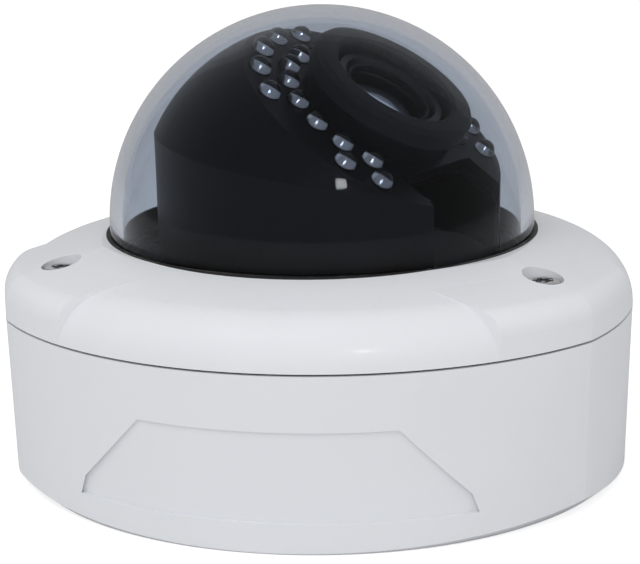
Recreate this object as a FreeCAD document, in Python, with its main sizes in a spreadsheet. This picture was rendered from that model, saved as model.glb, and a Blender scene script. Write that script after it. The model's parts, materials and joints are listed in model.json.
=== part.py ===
import FreeCAD, Part
import math
import os
import Sketcher

# A dome camera in a rounded three-cornered cast housing: base, cover with a clear dome, and a
# pan, tilt and rotate head that carries the lens, its ring of infrared lamps and a black shroud.
# Frame: origin at the centre of the mounting face, +Z up through the dome, -Y the front face.

Vector = FreeCAD.Vector
doc = FreeCAD.newDocument("dome_camera")

# ---------------------------------------------------------------- driving dimensions, millimetres
# A text that starts with = follows other sizes.
SIZES = {
    # outer plan: three equal face arcs, each centred face_offset beyond the axis
    "face_arc": 80.2,
    "face_offset": 8.0,
    "draft_angle": 1.7,
    "base_top": 39.4,
    "seam_gap": 0.5,
    "base_wall": 3.2,
    "floor_thick": 4.0,
    "foot_radius": "=face_arc - 9.6",
    "foot_rise": 4.8,
    "foot_flare": 5.7,
    # front relief panel
    "relief_depth": 0.45,
    "relief_fade": 9.0,
    "relief_height": "=base_top - 12.2",
    "relief_half_top": 28.0,
    "relief_half_foot": 46.0,
    # cover
    "rim_height": "=base_top + 15.6",
    "cover_wall": 3.0,
    "facet_slope": 15.6,
    "facet_round": 12.0,
    "facet_drop": 0.15,
    "pad_slope": 13.2,
    "pad_round": 5.5,
    "pad_drop": 0.47,
    "pad_half_inner": 27.0,
    "pad_half_outer": 23.4,
    # corner screws
    "screw_circle": "=face_arc - 17.2",
    "pillar_radius": 6.2,
    "screw_shaft": 1.95,
    "screw_head": 4.1,
    "screw_head_tall": 1.7,
    "screw_seat": "=rim_height - 6.2",
    "screw_washer": 0.4,
    "screw_length": 22.0,
    "screw_slip": 0.35,
    # dome, its gasket and its clamp ring
    "dome_radius": 50.0,
    "dome_wall": 3.0,
    "dome_centre": "=rim_height + 2.3",
    "flange_radius": "=dome_radius + 4.6",
    "flange_thick": 2.0,
    "seat_height": "=rim_height - 4",
    "gasket_lip": 0.9,
    "gasket_sheet": 0.4,
    "gasket_proud": 0.2,
    "clamp_outer": "=dome_radius + 10.2",
    "clamp_thick": 1.8,
    "clamp_circle": "=dome_radius + 7.7",
    "clamp_screw": 1.15,
    "clamp_head": 2.2,
    "clamp_head_tall": 1.3,
    # seal between cover and base
    "seal_inset": 1.0,
    "seal_wide": 1.4,
    "seal_groove": 1.2,
    "seal_proud": 0.2,
    # entries and mounting holes
    "mount_circle": "=face_arc - 25.2",
    "mount_hole": 2.4,
    "cable_hole": 9.0,
    "cable_radius": 3.2,
    "conduit_radius": 10.0,
    "conduit_height": "=base_top - 18.4",
    "conduit_face": "=face_arc - 10",
    "conduit_head": 13.0,
    # pan stage
    "pan_rest": 66.0,
    "hub_radius": 12.0,
    "hub_bore": "=cable_hole",
    "pan_base_radius": 38.0,
    "pan_base_thick": 3.0,
    "turntable_radius": 36.0,
    "turntable_thick": 3.0,
    "stage_gap": 0.3,
    "run_fit": 0.05,
    "retainer_radius": 18.0,
    "retainer_thick": 2.0,
    "arm_inner": 27.0,
    "arm_thick": 2.5,
    "arm_half": 5.0,
    "arm_eye": 7.0,
    "pivot_height": "=dome_centre + 3",
    "pivot_pin": 2.5,
    "pivot_head": 4.2,
    "pivot_head_tall": 2.0,
    "washer_thick": 0.7,
    # camera head, along the lens axis from the tilt pivot
    "lens_elevation": 56.0,
    "shroud_radius": "=dome_radius - 7",
    "shroud_column": "=dome_radius - 9.8",
    "shroud_lead": 2.0,
    "shroud_wall": 1.2,
    "shroud_skirt": 12.0,
    "plate_front": 27.4,
    "plate_thick": 1.8,
    "window_half": 14.5,
    "window_top": 19.4,
    "window_floor": 12.0,
    "board_gap": 1.2,
    "board_clear": 0.4,
    "board_thick": 1.6,
    "board_radius": 33.6,
    "lamp_inner_circle": "=collar_radius + 4.1",
    "lamp_outer_circle": "=lamp_inner_circle + 6.9",
    "lamp_inner_start": 215.0,
    "lamp_inner_pitch": 19.23,
    "lamp_outer_start": 153.6,
    "lamp_outer_pitch": 18.17,
    "lamp_low_start": 220.0,
    "lamp_low_pitch": 17.5,
    "lamp_radius": 2.5,
    "lamp_flange": 2.6,
    "lamp_shoulder": 27.9,
    "collar_radius": "=hood_bore + 4",
    "collar_front": 32.4,
    "hood_radius": "=hood_bore + 5.4",
    "hood_bore": "=front_radius + 1.4",
    "hood_front": 37.6,
    "bracket_half": 26.0,
    "bracket_tall": 22.0,
    "bracket_back": 9.0,
    "bracket_thick": 2.0,
    "ear_half": 6.0,
    "post_reach": 18.0,
    "post_radius": 2.0,
    # lens
    "neck_radius": "=barrel_radius + 3.5",
    "mount_flange": "=neck_radius + 2.5",
    "mount_thick": 2.0,
    "neck_back": "=bracket_back + 3",
    "barrel_radius": 11.5,
    "barrel_bore": "=barrel_radius - 2.5",
    "ring_radius": "=barrel_radius + 2.7",
    "zoom_start": -3.6,
    "focus_start": 9.0,
    "ring_wide": 6.0,
    "front_radius": "=barrel_radius + 1.5",
    "front_start": 16.0,
    "front_end": 34.8,
    "front_glass": 9.4,
    "lock_radius": 2.2,
    "lock_start": "=ring_radius + 1.8",
    "lock_long": 7.0,
    "lock_stem": 1.2,
    # circuit boards behind the lens
    "chip_board": 34.0,
    "sensor_depth": "=neck_back + 2.4",
    "stack_gap": 5.4,
    "spacer_radius": 1.9,
    "spacer_reach": 14.0,
}


def column_name(index):
    return "ABCDEFGH"[index // 40] + str(index % 40 + 1)


sheet = doc.addObject("Spreadsheet::Sheet", "dims")
for index, alias in enumerate(SIZES):
    sheet.setAlias(column_name(index), alias)
for index, value in enumerate(SIZES.values()):
    sheet.set(column_name(index), str(value))
doc.recompute()


def size(alias):
    return float(getattr(sheet, alias))


def d(text):
    """Put the sheet's name in front of every alias in an expression."""
    words = []
    for word in text.replace("(", "( ").replace(")", " )").replace(";", " ; ").split(" "):
        words.append("dims." + word if word in SIZES else word)
    return " ".join(words)


nodes = {}


def keep(label, shape_object, place=None):
    """Name a finished sub-part and put it in its own frame."""
    if place:
        shape_object.setExpression("Placement", place)
    shape_object.Label = label
    nodes[label] = shape_object
    return shape_object


def at(x="0", y="0", z="0", yaw="0", pitch="0", roll="0"):
    """A placement expression from six sheet expressions."""
    return d("placement(vector(%s ; %s ; %s); rotation(%s ; %s ; %s))" % (x, y, z, yaw, pitch, roll))


PAN = at(yaw="pan_rest")
HEAD = at(z="pivot_height", yaw="pan_rest", roll="90 - lens_elevation")


def cylinder(name, radius, height, place=None):
    item = doc.addObject("Part::Cylinder", name)
    item.setExpression("Radius", d(radius))
    item.setExpression("Height", d(height))
    item.setExpression("Placement", place or at())
    return item


def box(name, length, width, height, place=None):
    """A box centred on its own X and Y, standing on its own Z = 0."""
    item = doc.addObject("Part::Box", name)
    item.setExpression("Length", d(length))
    item.setExpression("Width", d(width))
    item.setExpression("Height", d(height))
    centre = d("placement(vector(-( %s ) / 2 ; -( %s ) / 2 ; 0); rotation(0 ; 0 ; 0))" % (length, width))
    item.setExpression("Placement", (place or at()) + " * " + centre)
    return item


def sphere(name, radius, place=None):
    item = doc.addObject("Part::Sphere", name)
    item.setExpression("Radius", d(radius))
    item.setExpression("Placement", place or at())
    return item


def cut(name, base, *tools):
    item = doc.addObject("Part::Cut", name)
    item.Base = base
    item.Tool = tools[0] if len(tools) == 1 else fuse(name + "_tools", *tools)
    return item


def fuse(name, *pieces):
    item = doc.addObject("Part::MultiFuse", name)
    item.Shapes = list(pieces)
    return item


def common(name, *pieces):
    item = doc.addObject("Part::MultiCommon", name)
    item.Shapes = list(pieces)
    return item


def group(name, pieces):
    """Separate solids that share one node."""
    item = doc.addObject("Part::Compound", name)
    item.Links = list(pieces)
    return item


def lathe(name, points, place=None):
    """A turned body: a closed half section of (radius, height) expressions, spun about Z."""
    body = doc.addObject("PartDesign::Body", name)
    sketch = body.newObject("Sketcher::SketchObject", name + "_section")
    plane = [item for item in body.Origin.OriginFeatures if item.Role == "XZ_Plane"][0]
    sketch.AttachmentSupport = [(plane, "")]
    sketch.MapMode = "FlatFace"
    count = len(points)
    start = [Vector(value_of(x), value_of(y), 0) for x, y in points]
    for i in range(count):
        sketch.addGeometry(Part.LineSegment(start[i], start[(i + 1) % count]))
    for i in range(count):
        sketch.addConstraint(Sketcher.Constraint("Coincident", i, 2, (i + 1) % count, 1))
    for i, (x, y) in enumerate(points):
        for kind, text, value in (("DistanceX", x, start[i].x), ("DistanceY", y, start[i].y)):
            number = sketch.addConstraint(Sketcher.Constraint(kind, -1, 1, i, 1, value))
            sketch.setExpression("Constraints[%d]" % number, d(text))
    turn = body.newObject("PartDesign::Revolution", name + "_turn")
    turn.Profile = sketch
    turn.ReferenceAxis = (sketch, ["V_Axis"])
    turn.Angle = 360
    if place:
        body.setExpression("Placement", place)
    return body


def value_of(text):
    """The present value of a sheet expression, for a sketch's starting points."""
    words = [str(size(word)) if word in SIZES else word for word in text.split(" ")]
    total = 0.0
    sign = 1.0
    product = None
    for word in words:
        if word in ("+", "-"):
            total += sign * (product or 0.0)
            product = None
            sign = 1.0 if word == "+" else -1.0
        elif word not in ("*", "/"):
            product = float(word) if product is None else product * float(word)
    return total + sign * (product or 0.0)


def ring(name, inner, outer, low, high, place=None):
    return lathe(name, [(inner, low), (outer, low), (outer, high), (inner, high)], place)


def finish(label, feature):
    """A sub-part whose solid no workbench feature describes."""
    item = doc.addObject("Part::Feature", label)
    item.Shape = feature
    item.Label = label
    nodes[label] = item
    return item


# ---------------------------------------------------------------- cast housing
FACE_TURNS = (0.0, 120.0, 240.0)
CORNER_TURNS = (60.0, 180.0, 300.0)
MOUNT_TURNS = (30.0, 150.0, 270.0)


def turned(section):
    """Spin a closed list of (radius, height) points, or ready edges, about Z."""
    edges = []
    for i, item in enumerate(section):
        following = section[(i + 1) % len(section)]
        if isinstance(item, tuple) and isinstance(following, tuple):
            edges.append(Part.LineSegment(Vector(item[0], 0, item[1]), Vector(following[0], 0, following[1])).toShape())
        elif not isinstance(item, tuple):
            edges.append(item)
    wire = Part.Wire(Part.__sortEdges__(edges))
    return Part.Face(wire).revolve(Vector(0, 0, 0), Vector(0, 0, 1), 360)


def three_faced(solid):
    """Common of one turned solid set at the centres of the three face arcs."""
    result = None
    for turn_angle in FACE_TURNS:
        copy = solid.copy()
        copy.translate(Vector(0, size("face_offset"), 0))
        copy.rotate(Vector(0, 0, 0), Vector(0, 0, 1), turn_angle)
        result = copy if result is None else result.common(copy)
    return result


def three_sided_block(radius, low, high, lean=0.0):
    """Upright three-faced block; lean draws its foot in by that much."""
    return three_faced(turned([(0, low), (radius - lean, low), (radius, high), (0, high)]))


def crowned_block(radius, low, slope, rounding, top_at_dome):
    """Three-faced block with a sloping top and a rounded upper edge."""
    tilt = math.radians(slope)
    centre_x = radius - rounding
    line_z = top_at_dome - (centre_x - size("dome_radius") - size("face_offset")) * math.tan(tilt)
    centre_z = line_z - rounding / math.cos(tilt)
    start = Vector(radius, 0, centre_z)
    middle_angle = (math.pi / 2 - tilt) / 2
    middle = Vector(centre_x + rounding * math.cos(middle_angle), 0, centre_z + rounding * math.sin(middle_angle))
    end = Vector(centre_x + rounding * math.sin(tilt), 0, centre_z + rounding * math.cos(tilt))
    apex = end.z + end.x * math.tan(tilt)
    arc = Part.Arc(start, middle, end).toShape()
    points = [Vector(0, 0, apex), Vector(0, 0, low), Vector(radius, 0, low), start]
    edges = [Part.LineSegment(a, b).toShape() for a, b in zip(points, points[1:]) if (a - b).Length > 1e-6]
    edges += [arc, Part.LineSegment(end, points[0]).toShape()]
    face = Part.Face(Part.Wire(Part.__sortEdges__(edges)))
    return three_faced(face.revolve(Vector(0, 0, 0), Vector(0, 0, 1), 360))


def upright(radius, low, high, reach=0.0, turn_angle=0.0):
    """Upright cylinder at a reach from the axis, turned from the front towards +X."""
    angle = math.radians(turn_angle)
    centre = Vector(reach * math.sin(angle), -reach * math.cos(angle), low)
    return Part.makeCylinder(radius, high - low, centre)


def corner_block(half_inner, half_outer, near, far, low, high, turn_angle):
    """Block that widens or narrows along a corner's own radius."""
    points = [Vector(-half_inner, -near, low), Vector(half_inner, -near, low),
              Vector(half_outer, -far, low), Vector(-half_outer, -far, low)]
    block = Part.Face(Part.makePolygon(points + points[:1])).extrude(Vector(0, 0, high - low))
    block.rotate(Vector(0, 0, 0), Vector(0, 0, 1), turn_angle)
    return block


face_arc = size("face_arc")
base_top = size("base_top")
floor_thick = size("floor_thick")
inner_arc = face_arc - size("base_wall")
lean = base_top * math.tan(math.radians(size("draft_angle")))
cover_low = base_top + size("seam_gap")
far_out = face_arc + 10.0

# base housing: drafted wall, coned foot, pillars for the corner screws
outer = three_sided_block(face_arc, 0.0, base_top, lean)
foot_wide = size("foot_radius") + size("foot_flare")
foot_cone = turned([(0, 0), (size("foot_radius"), 0), (foot_wide, size("foot_rise")), (far_out, size("foot_rise")),
                    (far_out, base_top), (0, base_top)])
outer = outer.common(foot_cone)
inside = three_sided_block(inner_arc, floor_thick, base_top + 1.0, lean)
base = outer.cut(inside)
for turn_angle in CORNER_TURNS:
    pillar = upright(size("pillar_radius"), floor_thick - 1.0, base_top, size("screw_circle"), turn_angle)
    web = corner_block(3.0, 3.0, size("screw_circle"), far_out, floor_thick - 1.0, base_top, turn_angle)
    base = base.fuse(pillar.fuse(web).common(outer))
for turn_angle in CORNER_TURNS:
    slip = size("screw_shaft") + size("screw_slip")
    base = base.cut(upright(slip, base_top - size("screw_length"), base_top + 1.0, size("screw_circle"), turn_angle))
groove_outer = face_arc - size("seal_inset")
groove_inner = groove_outer - size("seal_wide")
groove_low = base_top - size("seal_groove")
groove = three_sided_block(groove_outer, groove_low, base_top + 1.0)
groove = groove.cut(three_sided_block(groove_inner, groove_low - 1.0, base_top + 2.0))
base = base.cut(groove)
half_top = size("relief_half_top")
half_foot = size("relief_half_foot")
relief_height = size("relief_height")
bend_half, bend_high = half_foot * 0.92, relief_height * 0.42
panel_points = [Vector(-half_foot, -far_out, 0.0), Vector(half_foot, -far_out, 0.0),
                Vector(bend_half, -far_out, bend_high), Vector(half_top, -far_out, relief_height),
                Vector(-half_top, -far_out, relief_height), Vector(-bend_half, -far_out, bend_high)]
panel = Part.Face(Part.makePolygon(panel_points + panel_points[:1]))
panel = panel.extrude(Vector(0, far_out - size("mount_circle"), 0))
# the relief is deepest along its top edge and runs out to nothing at relief_fade above the foot
draft = math.tan(math.radians(size("draft_angle")))
relief_fade = size("relief_fade")
fade_lean = draft + size("relief_depth") / (relief_height - relief_fade)
relief_face = face_arc - lean + relief_height * draft - size("relief_depth")
panel = panel.cut(three_faced(turned([
    (0, relief_fade - 10.0), (relief_face - (relief_height - relief_fade + 10.0) * fade_lean, relief_fade - 10.0),
    (relief_face + 5.0 * fade_lean, relief_height + 5.0), (0, relief_height + 5.0)])))
panel = panel.common(upright(far_out + 10.0, relief_fade - 2.0, base_top))
base = base.cut(panel)
for turn_angle in MOUNT_TURNS:
    base = base.cut(upright(size("mount_hole"), -1.0, floor_thick + 1.0, size("mount_circle"), turn_angle))
base = base.cut(upright(size("cable_hole"), -1.0, floor_thick + 1.0))
conduit_turn = math.radians(240.0)
outward = Vector(math.sin(conduit_turn), -math.cos(conduit_turn), 0)
conduit_mid = Vector(0, 0, size("conduit_height"))
base = base.cut(Part.makeCylinder(size("conduit_radius"), 40.0, conduit_mid + outward * 50.0, outward))
spot = Part.makeCylinder(size("conduit_head") + 0.6, 20.0, conduit_mid + outward * size("conduit_face"), outward)
base = finish("base_housing", base.cut(spot).removeSplitter())

# cover: sloping facets between three flatter corner pads, rounded upper edge, round dome opening
rim_height = size("rim_height")
dome_radius = size("dome_radius")
crown_low = cover_low - 10.0
facets = crowned_block(face_arc, crown_low, size("facet_slope"), size("facet_round"), rim_height - size("facet_drop"))
pads = crowned_block(face_arc, crown_low, size("pad_slope"), size("pad_round"), rim_height - size("pad_drop"))
strips = None
for turn_angle in CORNER_TURNS:
    strip = corner_block(size("pad_half_inner"), size("pad_half_outer"), dome_radius - 6.0, far_out,
                         crown_low, rim_height + 2.0, turn_angle)
    strips = strip if strips is None else strips.fuse(strip)
shell = facets.fuse(pads.common(strips))
shell = shell.common(upright(far_out, cover_low, rim_height))
wall = size("cover_wall")
hollow = crowned_block(face_arc - wall, crown_low, size("facet_slope"), size("facet_round") - wall,
                       rim_height - size("facet_drop") - wall / math.cos(math.radians(size("facet_slope"))))
cover = shell.cut(hollow)
seat_height = size("seat_height")
flange_low = seat_height - size("gasket_sheet") - size("flange_thick")
for turn_angle in CORNER_TURNS:
    boss = upright(size("pillar_radius"), cover_low, rim_height, size("screw_circle"), turn_angle)
    web = corner_block(3.0, 3.0, size("screw_circle"), far_out, cover_low, rim_height, turn_angle)
    cover = cover.fuse(boss.fuse(web).common(shell))
clamp_turns = [30.0 + 60.0 * step for step in range(6)]
for turn_angle in clamp_turns:
    boss = upright(size("clamp_head") + 0.6, flange_low, rim_height, size("clamp_circle"), turn_angle)
    cover = cover.fuse(boss.common(shell))
cover = cover.cut(upright(dome_radius + size("gasket_lip"), 0.0, rim_height + 1.0))
cover = cover.cut(upright(size("flange_radius") + 0.4, 0.0, seat_height))
for turn_angle in clamp_turns:
    cover = cover.cut(upright(size("clamp_screw") + 0.02, flange_low - 1.0, seat_height - 0.6,
                              size("clamp_circle"), turn_angle))
for turn_angle in CORNER_TURNS:
    slip = size("screw_shaft") + 0.15
    cover = cover.cut(upright(slip, 0.0, rim_height, size("screw_circle"), turn_angle))
    cover = cover.cut(upright(size("screw_head") + 0.5, size("screw_seat"), rim_height + 1.0,
                              size("screw_circle"), turn_angle))
cover = finish("top_cover", cover.removeSplitter())

# seal in the base rim
seal_clear = 0.1
seal_top = base_top + size("seal_proud")
seal = three_sided_block(groove_outer - seal_clear, groove_low, seal_top)
seal = seal.cut(three_sided_block(groove_inner + seal_clear, groove_low - 1.0, seal_top + 1.0))
finish("cover_seal", seal)

# ---------------------------------------------------------------- dome, gasket and clamp ring
flange_floor = "seat_height - gasket_sheet - flange_thick"
skirt = ring("dome_skirt", "dome_radius - dome_wall", "dome_radius", flange_floor, "dome_centre")
flange = ring("dome_flange", "dome_radius - dome_wall", "flange_radius", flange_floor, "seat_height - gasket_sheet")
cap_place = at(z="dome_centre")
bowl = cut("dome_bowl", sphere("dome_ball", "dome_radius", cap_place),
           sphere("dome_core", "dome_radius - dome_wall", cap_place),
           cylinder("dome_trim", "dome_radius + 2", "dome_radius + 2", at(z="dome_centre - dome_radius - 2")))
keep("dome_bubble", fuse("dome_bubble", skirt, flange, bowl))
keep("dome_gasket", lathe("dome_gasket", [
    ("dome_radius + 0.04", "seat_height - gasket_sheet"), ("flange_radius", "seat_height - gasket_sheet"),
    ("flange_radius", "seat_height"), ("dome_radius + gasket_lip - 0.04", "seat_height"),
    ("dome_radius + gasket_lip - 0.04", "rim_height + gasket_proud"),
    ("dome_radius + 0.04", "rim_height + gasket_proud")]))
clamp_ring = ring("clamp_blank", "dome_radius - dome_wall + 0.3", "clamp_outer",
                  flange_floor + " - clamp_thick", flange_floor)
clamp_holes = []
clamp_screws = []
for step in range(6):
    turn = str(30 + 60 * step)
    x = "clamp_circle * sin( %s )" % turn
    y = "-1 * clamp_circle * cos( %s )" % turn
    clamp_holes.append(cylinder("clamp_hole%d" % step, "clamp_screw + 0.1", "clamp_thick + 2",
                                at(x, y, flange_floor + " - clamp_thick - 1")))
    head = cylinder("clamp_head%d" % step, "clamp_head", "clamp_head_tall",
                    at(x, y, flange_floor + " - clamp_thick - clamp_head_tall"))
    stem = cylinder("clamp_stem%d" % step, "clamp_screw", "clamp_thick + 1.6",
                    at(x, y, flange_floor + " - clamp_thick"))
    slot = box("clamp_slot%d" % step, "3", "0.6", "0.6",
               at(x, y, flange_floor + " - clamp_thick - clamp_head_tall"))
    clamp_screws.append(cut("clamp_screw%d" % step, fuse("clamp_solid%d" % step, head, stem), slot))
for step, turn_angle in enumerate(CORNER_TURNS):
    clamp_holes.append(cylinder("clamp_notch%d" % step, "pillar_radius + stage_gap", "clamp_thick + 2",
                                at("screw_circle * sin( %g )" % turn_angle, "-1 * screw_circle * cos( %g )" % turn_angle,
                                   flange_floor + " - clamp_thick - 1")))
keep("dome_clamp_ring", cut("dome_clamp_ring", clamp_ring, *clamp_holes))
keep("clamp_ring_screws", group("clamp_ring_screws", clamp_screws))

# corner screws: pan heads with a six-sided socket and a centre pin, and a washer below each
corner_screws = []
corner_washers = []
for step, turn_angle in enumerate(CORNER_TURNS):
    x = "screw_circle * sin( %g )" % turn_angle
    y = "-1 * screw_circle * cos( %g )" % turn_angle
    head_low = "screw_seat + screw_washer"
    head = cylinder("corner_head%d" % step, "screw_head", "screw_head_tall", at(x, y, head_low))
    stem = cylinder("corner_stem%d" % step, "screw_shaft", "screw_length",
                    at(x, y, head_low + " - screw_length"))
    socket = doc.addObject("Part::Prism", "corner_socket%d" % step)
    socket.Polygon = 6
    socket.setExpression("Circumradius", d("screw_head * 0.55"))
    socket.setExpression("Height", d("screw_head_tall"))
    socket.setExpression("Placement", at(x, y, head_low + " + 0.7"))
    pin = cylinder("corner_pin%d" % step, "0.55", "screw_head_tall - 0.9", at(x, y, head_low + " + 0.5"))
    solid = cut("corner_cut%d" % step, fuse("corner_solid%d" % step, head, stem), socket)
    corner_screws.append(fuse("corner_screw%d" % step, solid, pin))
    corner_washers.append(ring("corner_washer%d" % step, "screw_shaft + 0.2", "screw_head - 0.2", "0",
                               "screw_washer", at(x, y, "screw_seat")))
keep("cover_screws", group("cover_screws", corner_screws))
keep("screw_washers", group("screw_washers", corner_washers))

# ---------------------------------------------------------------- entries in the base
keep("cable_grommet", lathe("cable_grommet", [
    ("cable_radius", "0.3"), ("cable_hole", "0.3"), ("cable_hole", "floor_thick"),
    ("cable_hole - 0.4", "floor_thick"), ("cable_hole - 0.4", "floor_thick + 2.4"),
    ("cable_radius", "floor_thick + 2.4")]))
CONDUIT = at("conduit_face * sin( 240 )", "-1 * conduit_face * cos( 240 )", "conduit_height", "240", "0", "90")
plug_head = cylinder("plug_head", "conduit_head", "3", at(z="1"))
plug_hex = doc.addObject("Part::Prism", "plug_hex")
plug_hex.Polygon = 6
plug_hex.Circumradius = 5.2
plug_hex.Height = 3
plug_hex.setExpression("Placement", at(z="2.2"))
plug_stem = cylinder("plug_stem", "conduit_radius - 0.05", "7", at(z="-6"))
keep("conduit_plug", cut("conduit_plug", fuse("plug_solid", plug_head, plug_stem), plug_hex), CONDUIT)
keep("conduit_plug_seal", ring("conduit_plug_seal", "conduit_radius", "conduit_head - 0.6", "0", "1", CONDUIT))

# ---------------------------------------------------------------- power board in the base
BAY = at(yaw="120")
bay_mid = "-1 * ( pan_base_radius + 14.5 )"
board_low = "floor_thick + 6"
bay_board = box("bay_board", "42", "19", "board_thick", at(y=bay_mid, z=board_low))
bay_holes = []
bay_posts = []
bay_screws = []
for step, (side, end) in enumerate(((1, 1), (1, -1), (-1, 1), (-1, -1))):
    x = "%g" % (18.5 * side)
    y = bay_mid + " + %g" % (7 * end)
    bay_holes.append(cylinder("bay_hole%d" % step, "1.3", "4", at(x, y, board_low + " - 1")))
    bay_posts.append(cylinder("bay_post%d" % step, "2.2", "6", at(x, y, "floor_thick")))
    bay_screws.append(cylinder("bay_screw%d" % step, "2.0", "1.2", at(x, y, board_low + " + board_thick")))
keep("power_board", cut("power_board", bay_board, *bay_holes), BAY)
keep("power_board_posts", group("power_board_posts", bay_posts), BAY)
keep("power_board_screws", group("power_board_screws", bay_screws), BAY)
terminal = box("terminal_block", "14", "8", "8", at("-7", bay_mid + " - 2", board_low + " + board_thick"))
jack = box("video_jack", "9", "9", "9", at("8", bay_mid + " - 1", board_low + " + board_thick"))
keep("power_terminal", terminal)
keep("video_connector", jack)
for part_name in ("power_terminal", "video_connector"):
    piece = nodes[part_name]
    piece.setExpression("Placement", BAY + " * " + dict(piece.ExpressionEngine)["Placement"])

# ---------------------------------------------------------------- pan stage
turn_low = "floor_thick + pan_base_thick + stage_gap"
turn_high = turn_low + " + turntable_thick"
keep("pan_base", lathe("pan_base", [
    ("hub_bore", "floor_thick"), ("pan_base_radius", "floor_thick"),
    ("pan_base_radius", "floor_thick + pan_base_thick"), ("hub_radius", "floor_thick + pan_base_thick"),
    ("hub_radius", turn_high + " + stage_gap + retainer_thick + 1.2"),
    ("hub_bore", turn_high + " + stage_gap + retainer_thick + 1.2")]))
keep("pan_retainer", ring("pan_retainer", "hub_radius", "retainer_radius", turn_high + " + stage_gap",
                          turn_high + " + stage_gap + retainer_thick"))


def arm(name, side):
    """One upright arm with a foot on the turntable and an eye for the tilt pivot."""
    x = "%d * ( arm_inner + arm_thick / 2 )" % side
    post = box(name + "_post", "arm_thick", "2 * arm_half", "pivot_height - ( %s )" % turn_high, at(x, "0", turn_high))
    foot_long = "arm_inner + arm_thick - retainer_radius - 1"
    foot = box(name + "_foot", foot_long, "2 * arm_half", "arm_thick",
               at("%d * ( retainer_radius + 1 + ( %s ) / 2 )" % (side, foot_long), "0", turn_high))
    eye = cylinder(name + "_eye", "arm_eye", "arm_thick",
                   at("%d * ( arm_inner + arm_thick / 2 ) - arm_thick / 2" % side, "0", "pivot_height", "0", "90"))
    bore = cylinder(name + "_bore", "pivot_pin + run_fit", "arm_thick + 4",
                    at("%d * ( arm_inner + arm_thick / 2 ) - arm_thick / 2 - 2" % side, "0", "pivot_height", "0", "90"))
    return cut(name, fuse(name + "_solid", post, foot, eye), bore)


keep("left_arm", arm("left_arm", -1), PAN)
keep("right_arm", arm("right_arm", 1), PAN)
arm_bolts = []
for side in (-1, 1):
    arm_bolts.append(cylinder("arm_bolt%d" % (side + 1), "2.4", "1.6",
                              at("%d * ( retainer_radius + 5 )" % side, "0", turn_high + " + arm_thick")))
keep("arm_screws", group("arm_screws", arm_bolts), PAN)
lock_x = "turntable_radius - 6"
lock_stem = cylinder("pan_lock_stem", "lock_stem", "turntable_thick + stage_gap",
                     at(z="-1 * ( turntable_thick + stage_gap )"))
lock_head = cylinder("pan_lock_head", "3.4", "4")
PAN_LOCK = PAN + " * " + at("0", lock_x, turn_high + " + stage_gap")
keep("pan_lock_knob", fuse("pan_lock_knob", lock_stem, lock_head), PAN_LOCK)
lock_bore = cylinder("pan_lock_bore", "lock_stem + 0.05", "20", at("0", lock_x, "0"))
turntable = ring("turntable_blank", "hub_radius + run_fit", "turntable_radius", turn_low, turn_high)
keep("pan_turntable", cut("pan_turntable", turntable, lock_bore), PAN)

# ---------------------------------------------------------------- tilt bracket and pivots
plate = box("bracket_plate", "2 * bracket_half", "2 * bracket_tall", "bracket_thick", at(z="-1 * bracket_back"))
ears = []
for side in (-1, 1):
    x = "%d * ( bracket_half - bracket_thick / 2 )" % side
    ears.append(box("ear%d" % (side + 1), "bracket_thick", "2 * ear_half", "bracket_back + ear_half",
                    at(x, "0", "-1 * bracket_back")))
neck_bore = cylinder("neck_bore", "neck_radius + run_fit", "bracket_thick + 4", at(z="-1 * bracket_back - 2"))
pivot_bore = cylinder("pivot_bore", "pivot_pin", "2 * bracket_half + 4", at("-1 * bracket_half - 2", "0", "0", "0", "90"))
keep("tilt_bracket", cut("tilt_bracket", fuse("bracket_solid", plate, *ears), neck_bore, pivot_bore), HEAD)
pins = []
washers = []
for side in (-1, 1):
    spin = "90" if side > 0 else "-90"
    stem = cylinder("pivot_stem%d" % (side + 1), "pivot_pin", "arm_inner + arm_thick + stage_gap - bracket_half + 2",
                    at("%d * ( bracket_half - 2 )" % side, "0", "0", "0", spin))
    head = cylinder("pivot_cap%d" % (side + 1), "pivot_head", "pivot_head_tall",
                    at("%d * ( arm_inner + arm_thick + stage_gap )" % side, "0", "0", "0", spin))
    slot = box("pivot_slot%d" % (side + 1), "5.6", "1", "1",
               at("%d * ( arm_inner + arm_thick + stage_gap + pivot_head_tall - 0.8 )" % side, "0", "0", "0", spin))
    pins.append(cut("pivot_screw%d" % (side + 1), fuse("pivot_solid%d" % (side + 1), stem, head), slot))
    washers.append(ring("pivot_washer%d" % (side + 1), "pivot_pin + 0.1", "pivot_head + 1", "0", "washer_thick",
                        at("%d * bracket_half" % side, "0", "0", "0", spin)))
keep("tilt_pivot_screws", group("tilt_pivot_screws", pins), HEAD)
keep("tilt_friction_washers", group("tilt_friction_washers", washers), HEAD)
posts = []
board_back = "plate_front - plate_thick - board_gap - board_thick"
for step, (side, end) in enumerate(((-1, 1), (-1, -1), (1, 1))):
    x = "%d * post_reach" % side
    y = "%d * post_reach" % end
    posts.append(cylinder("head_post%d" % step, "post_radius", board_back + " - bracket_thick + bracket_back",
                          at(x, y, "bracket_thick - bracket_back")))
keep("head_posts", group("head_posts", posts), HEAD)

# ---------------------------------------------------------------- shroud, lamp plate and lamps
UPRIGHT = at(roll="lens_elevation - 90")


def head_form(name, skin):
    """Ball about the tilt pivot, narrowed to a column that stands upright at rest."""
    ball = sphere(name + "_ball", "shroud_radius - " + skin)
    column = cylinder(name + "_column", "shroud_column - " + skin, "4 * shroud_radius",
                      UPRIGHT + " * " + at(y="-1 * shroud_lead", z="-2 * shroud_radius"))
    return common(name, ball, column)


def window(name):
    """Opening below the hood, through which the lens is adjusted."""
    return box(name + "_window", "2 * window_half", "shroud_radius", "shroud_radius",
               at("0", "-1 * window_top - shroud_radius / 2", "window_floor"))


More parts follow.
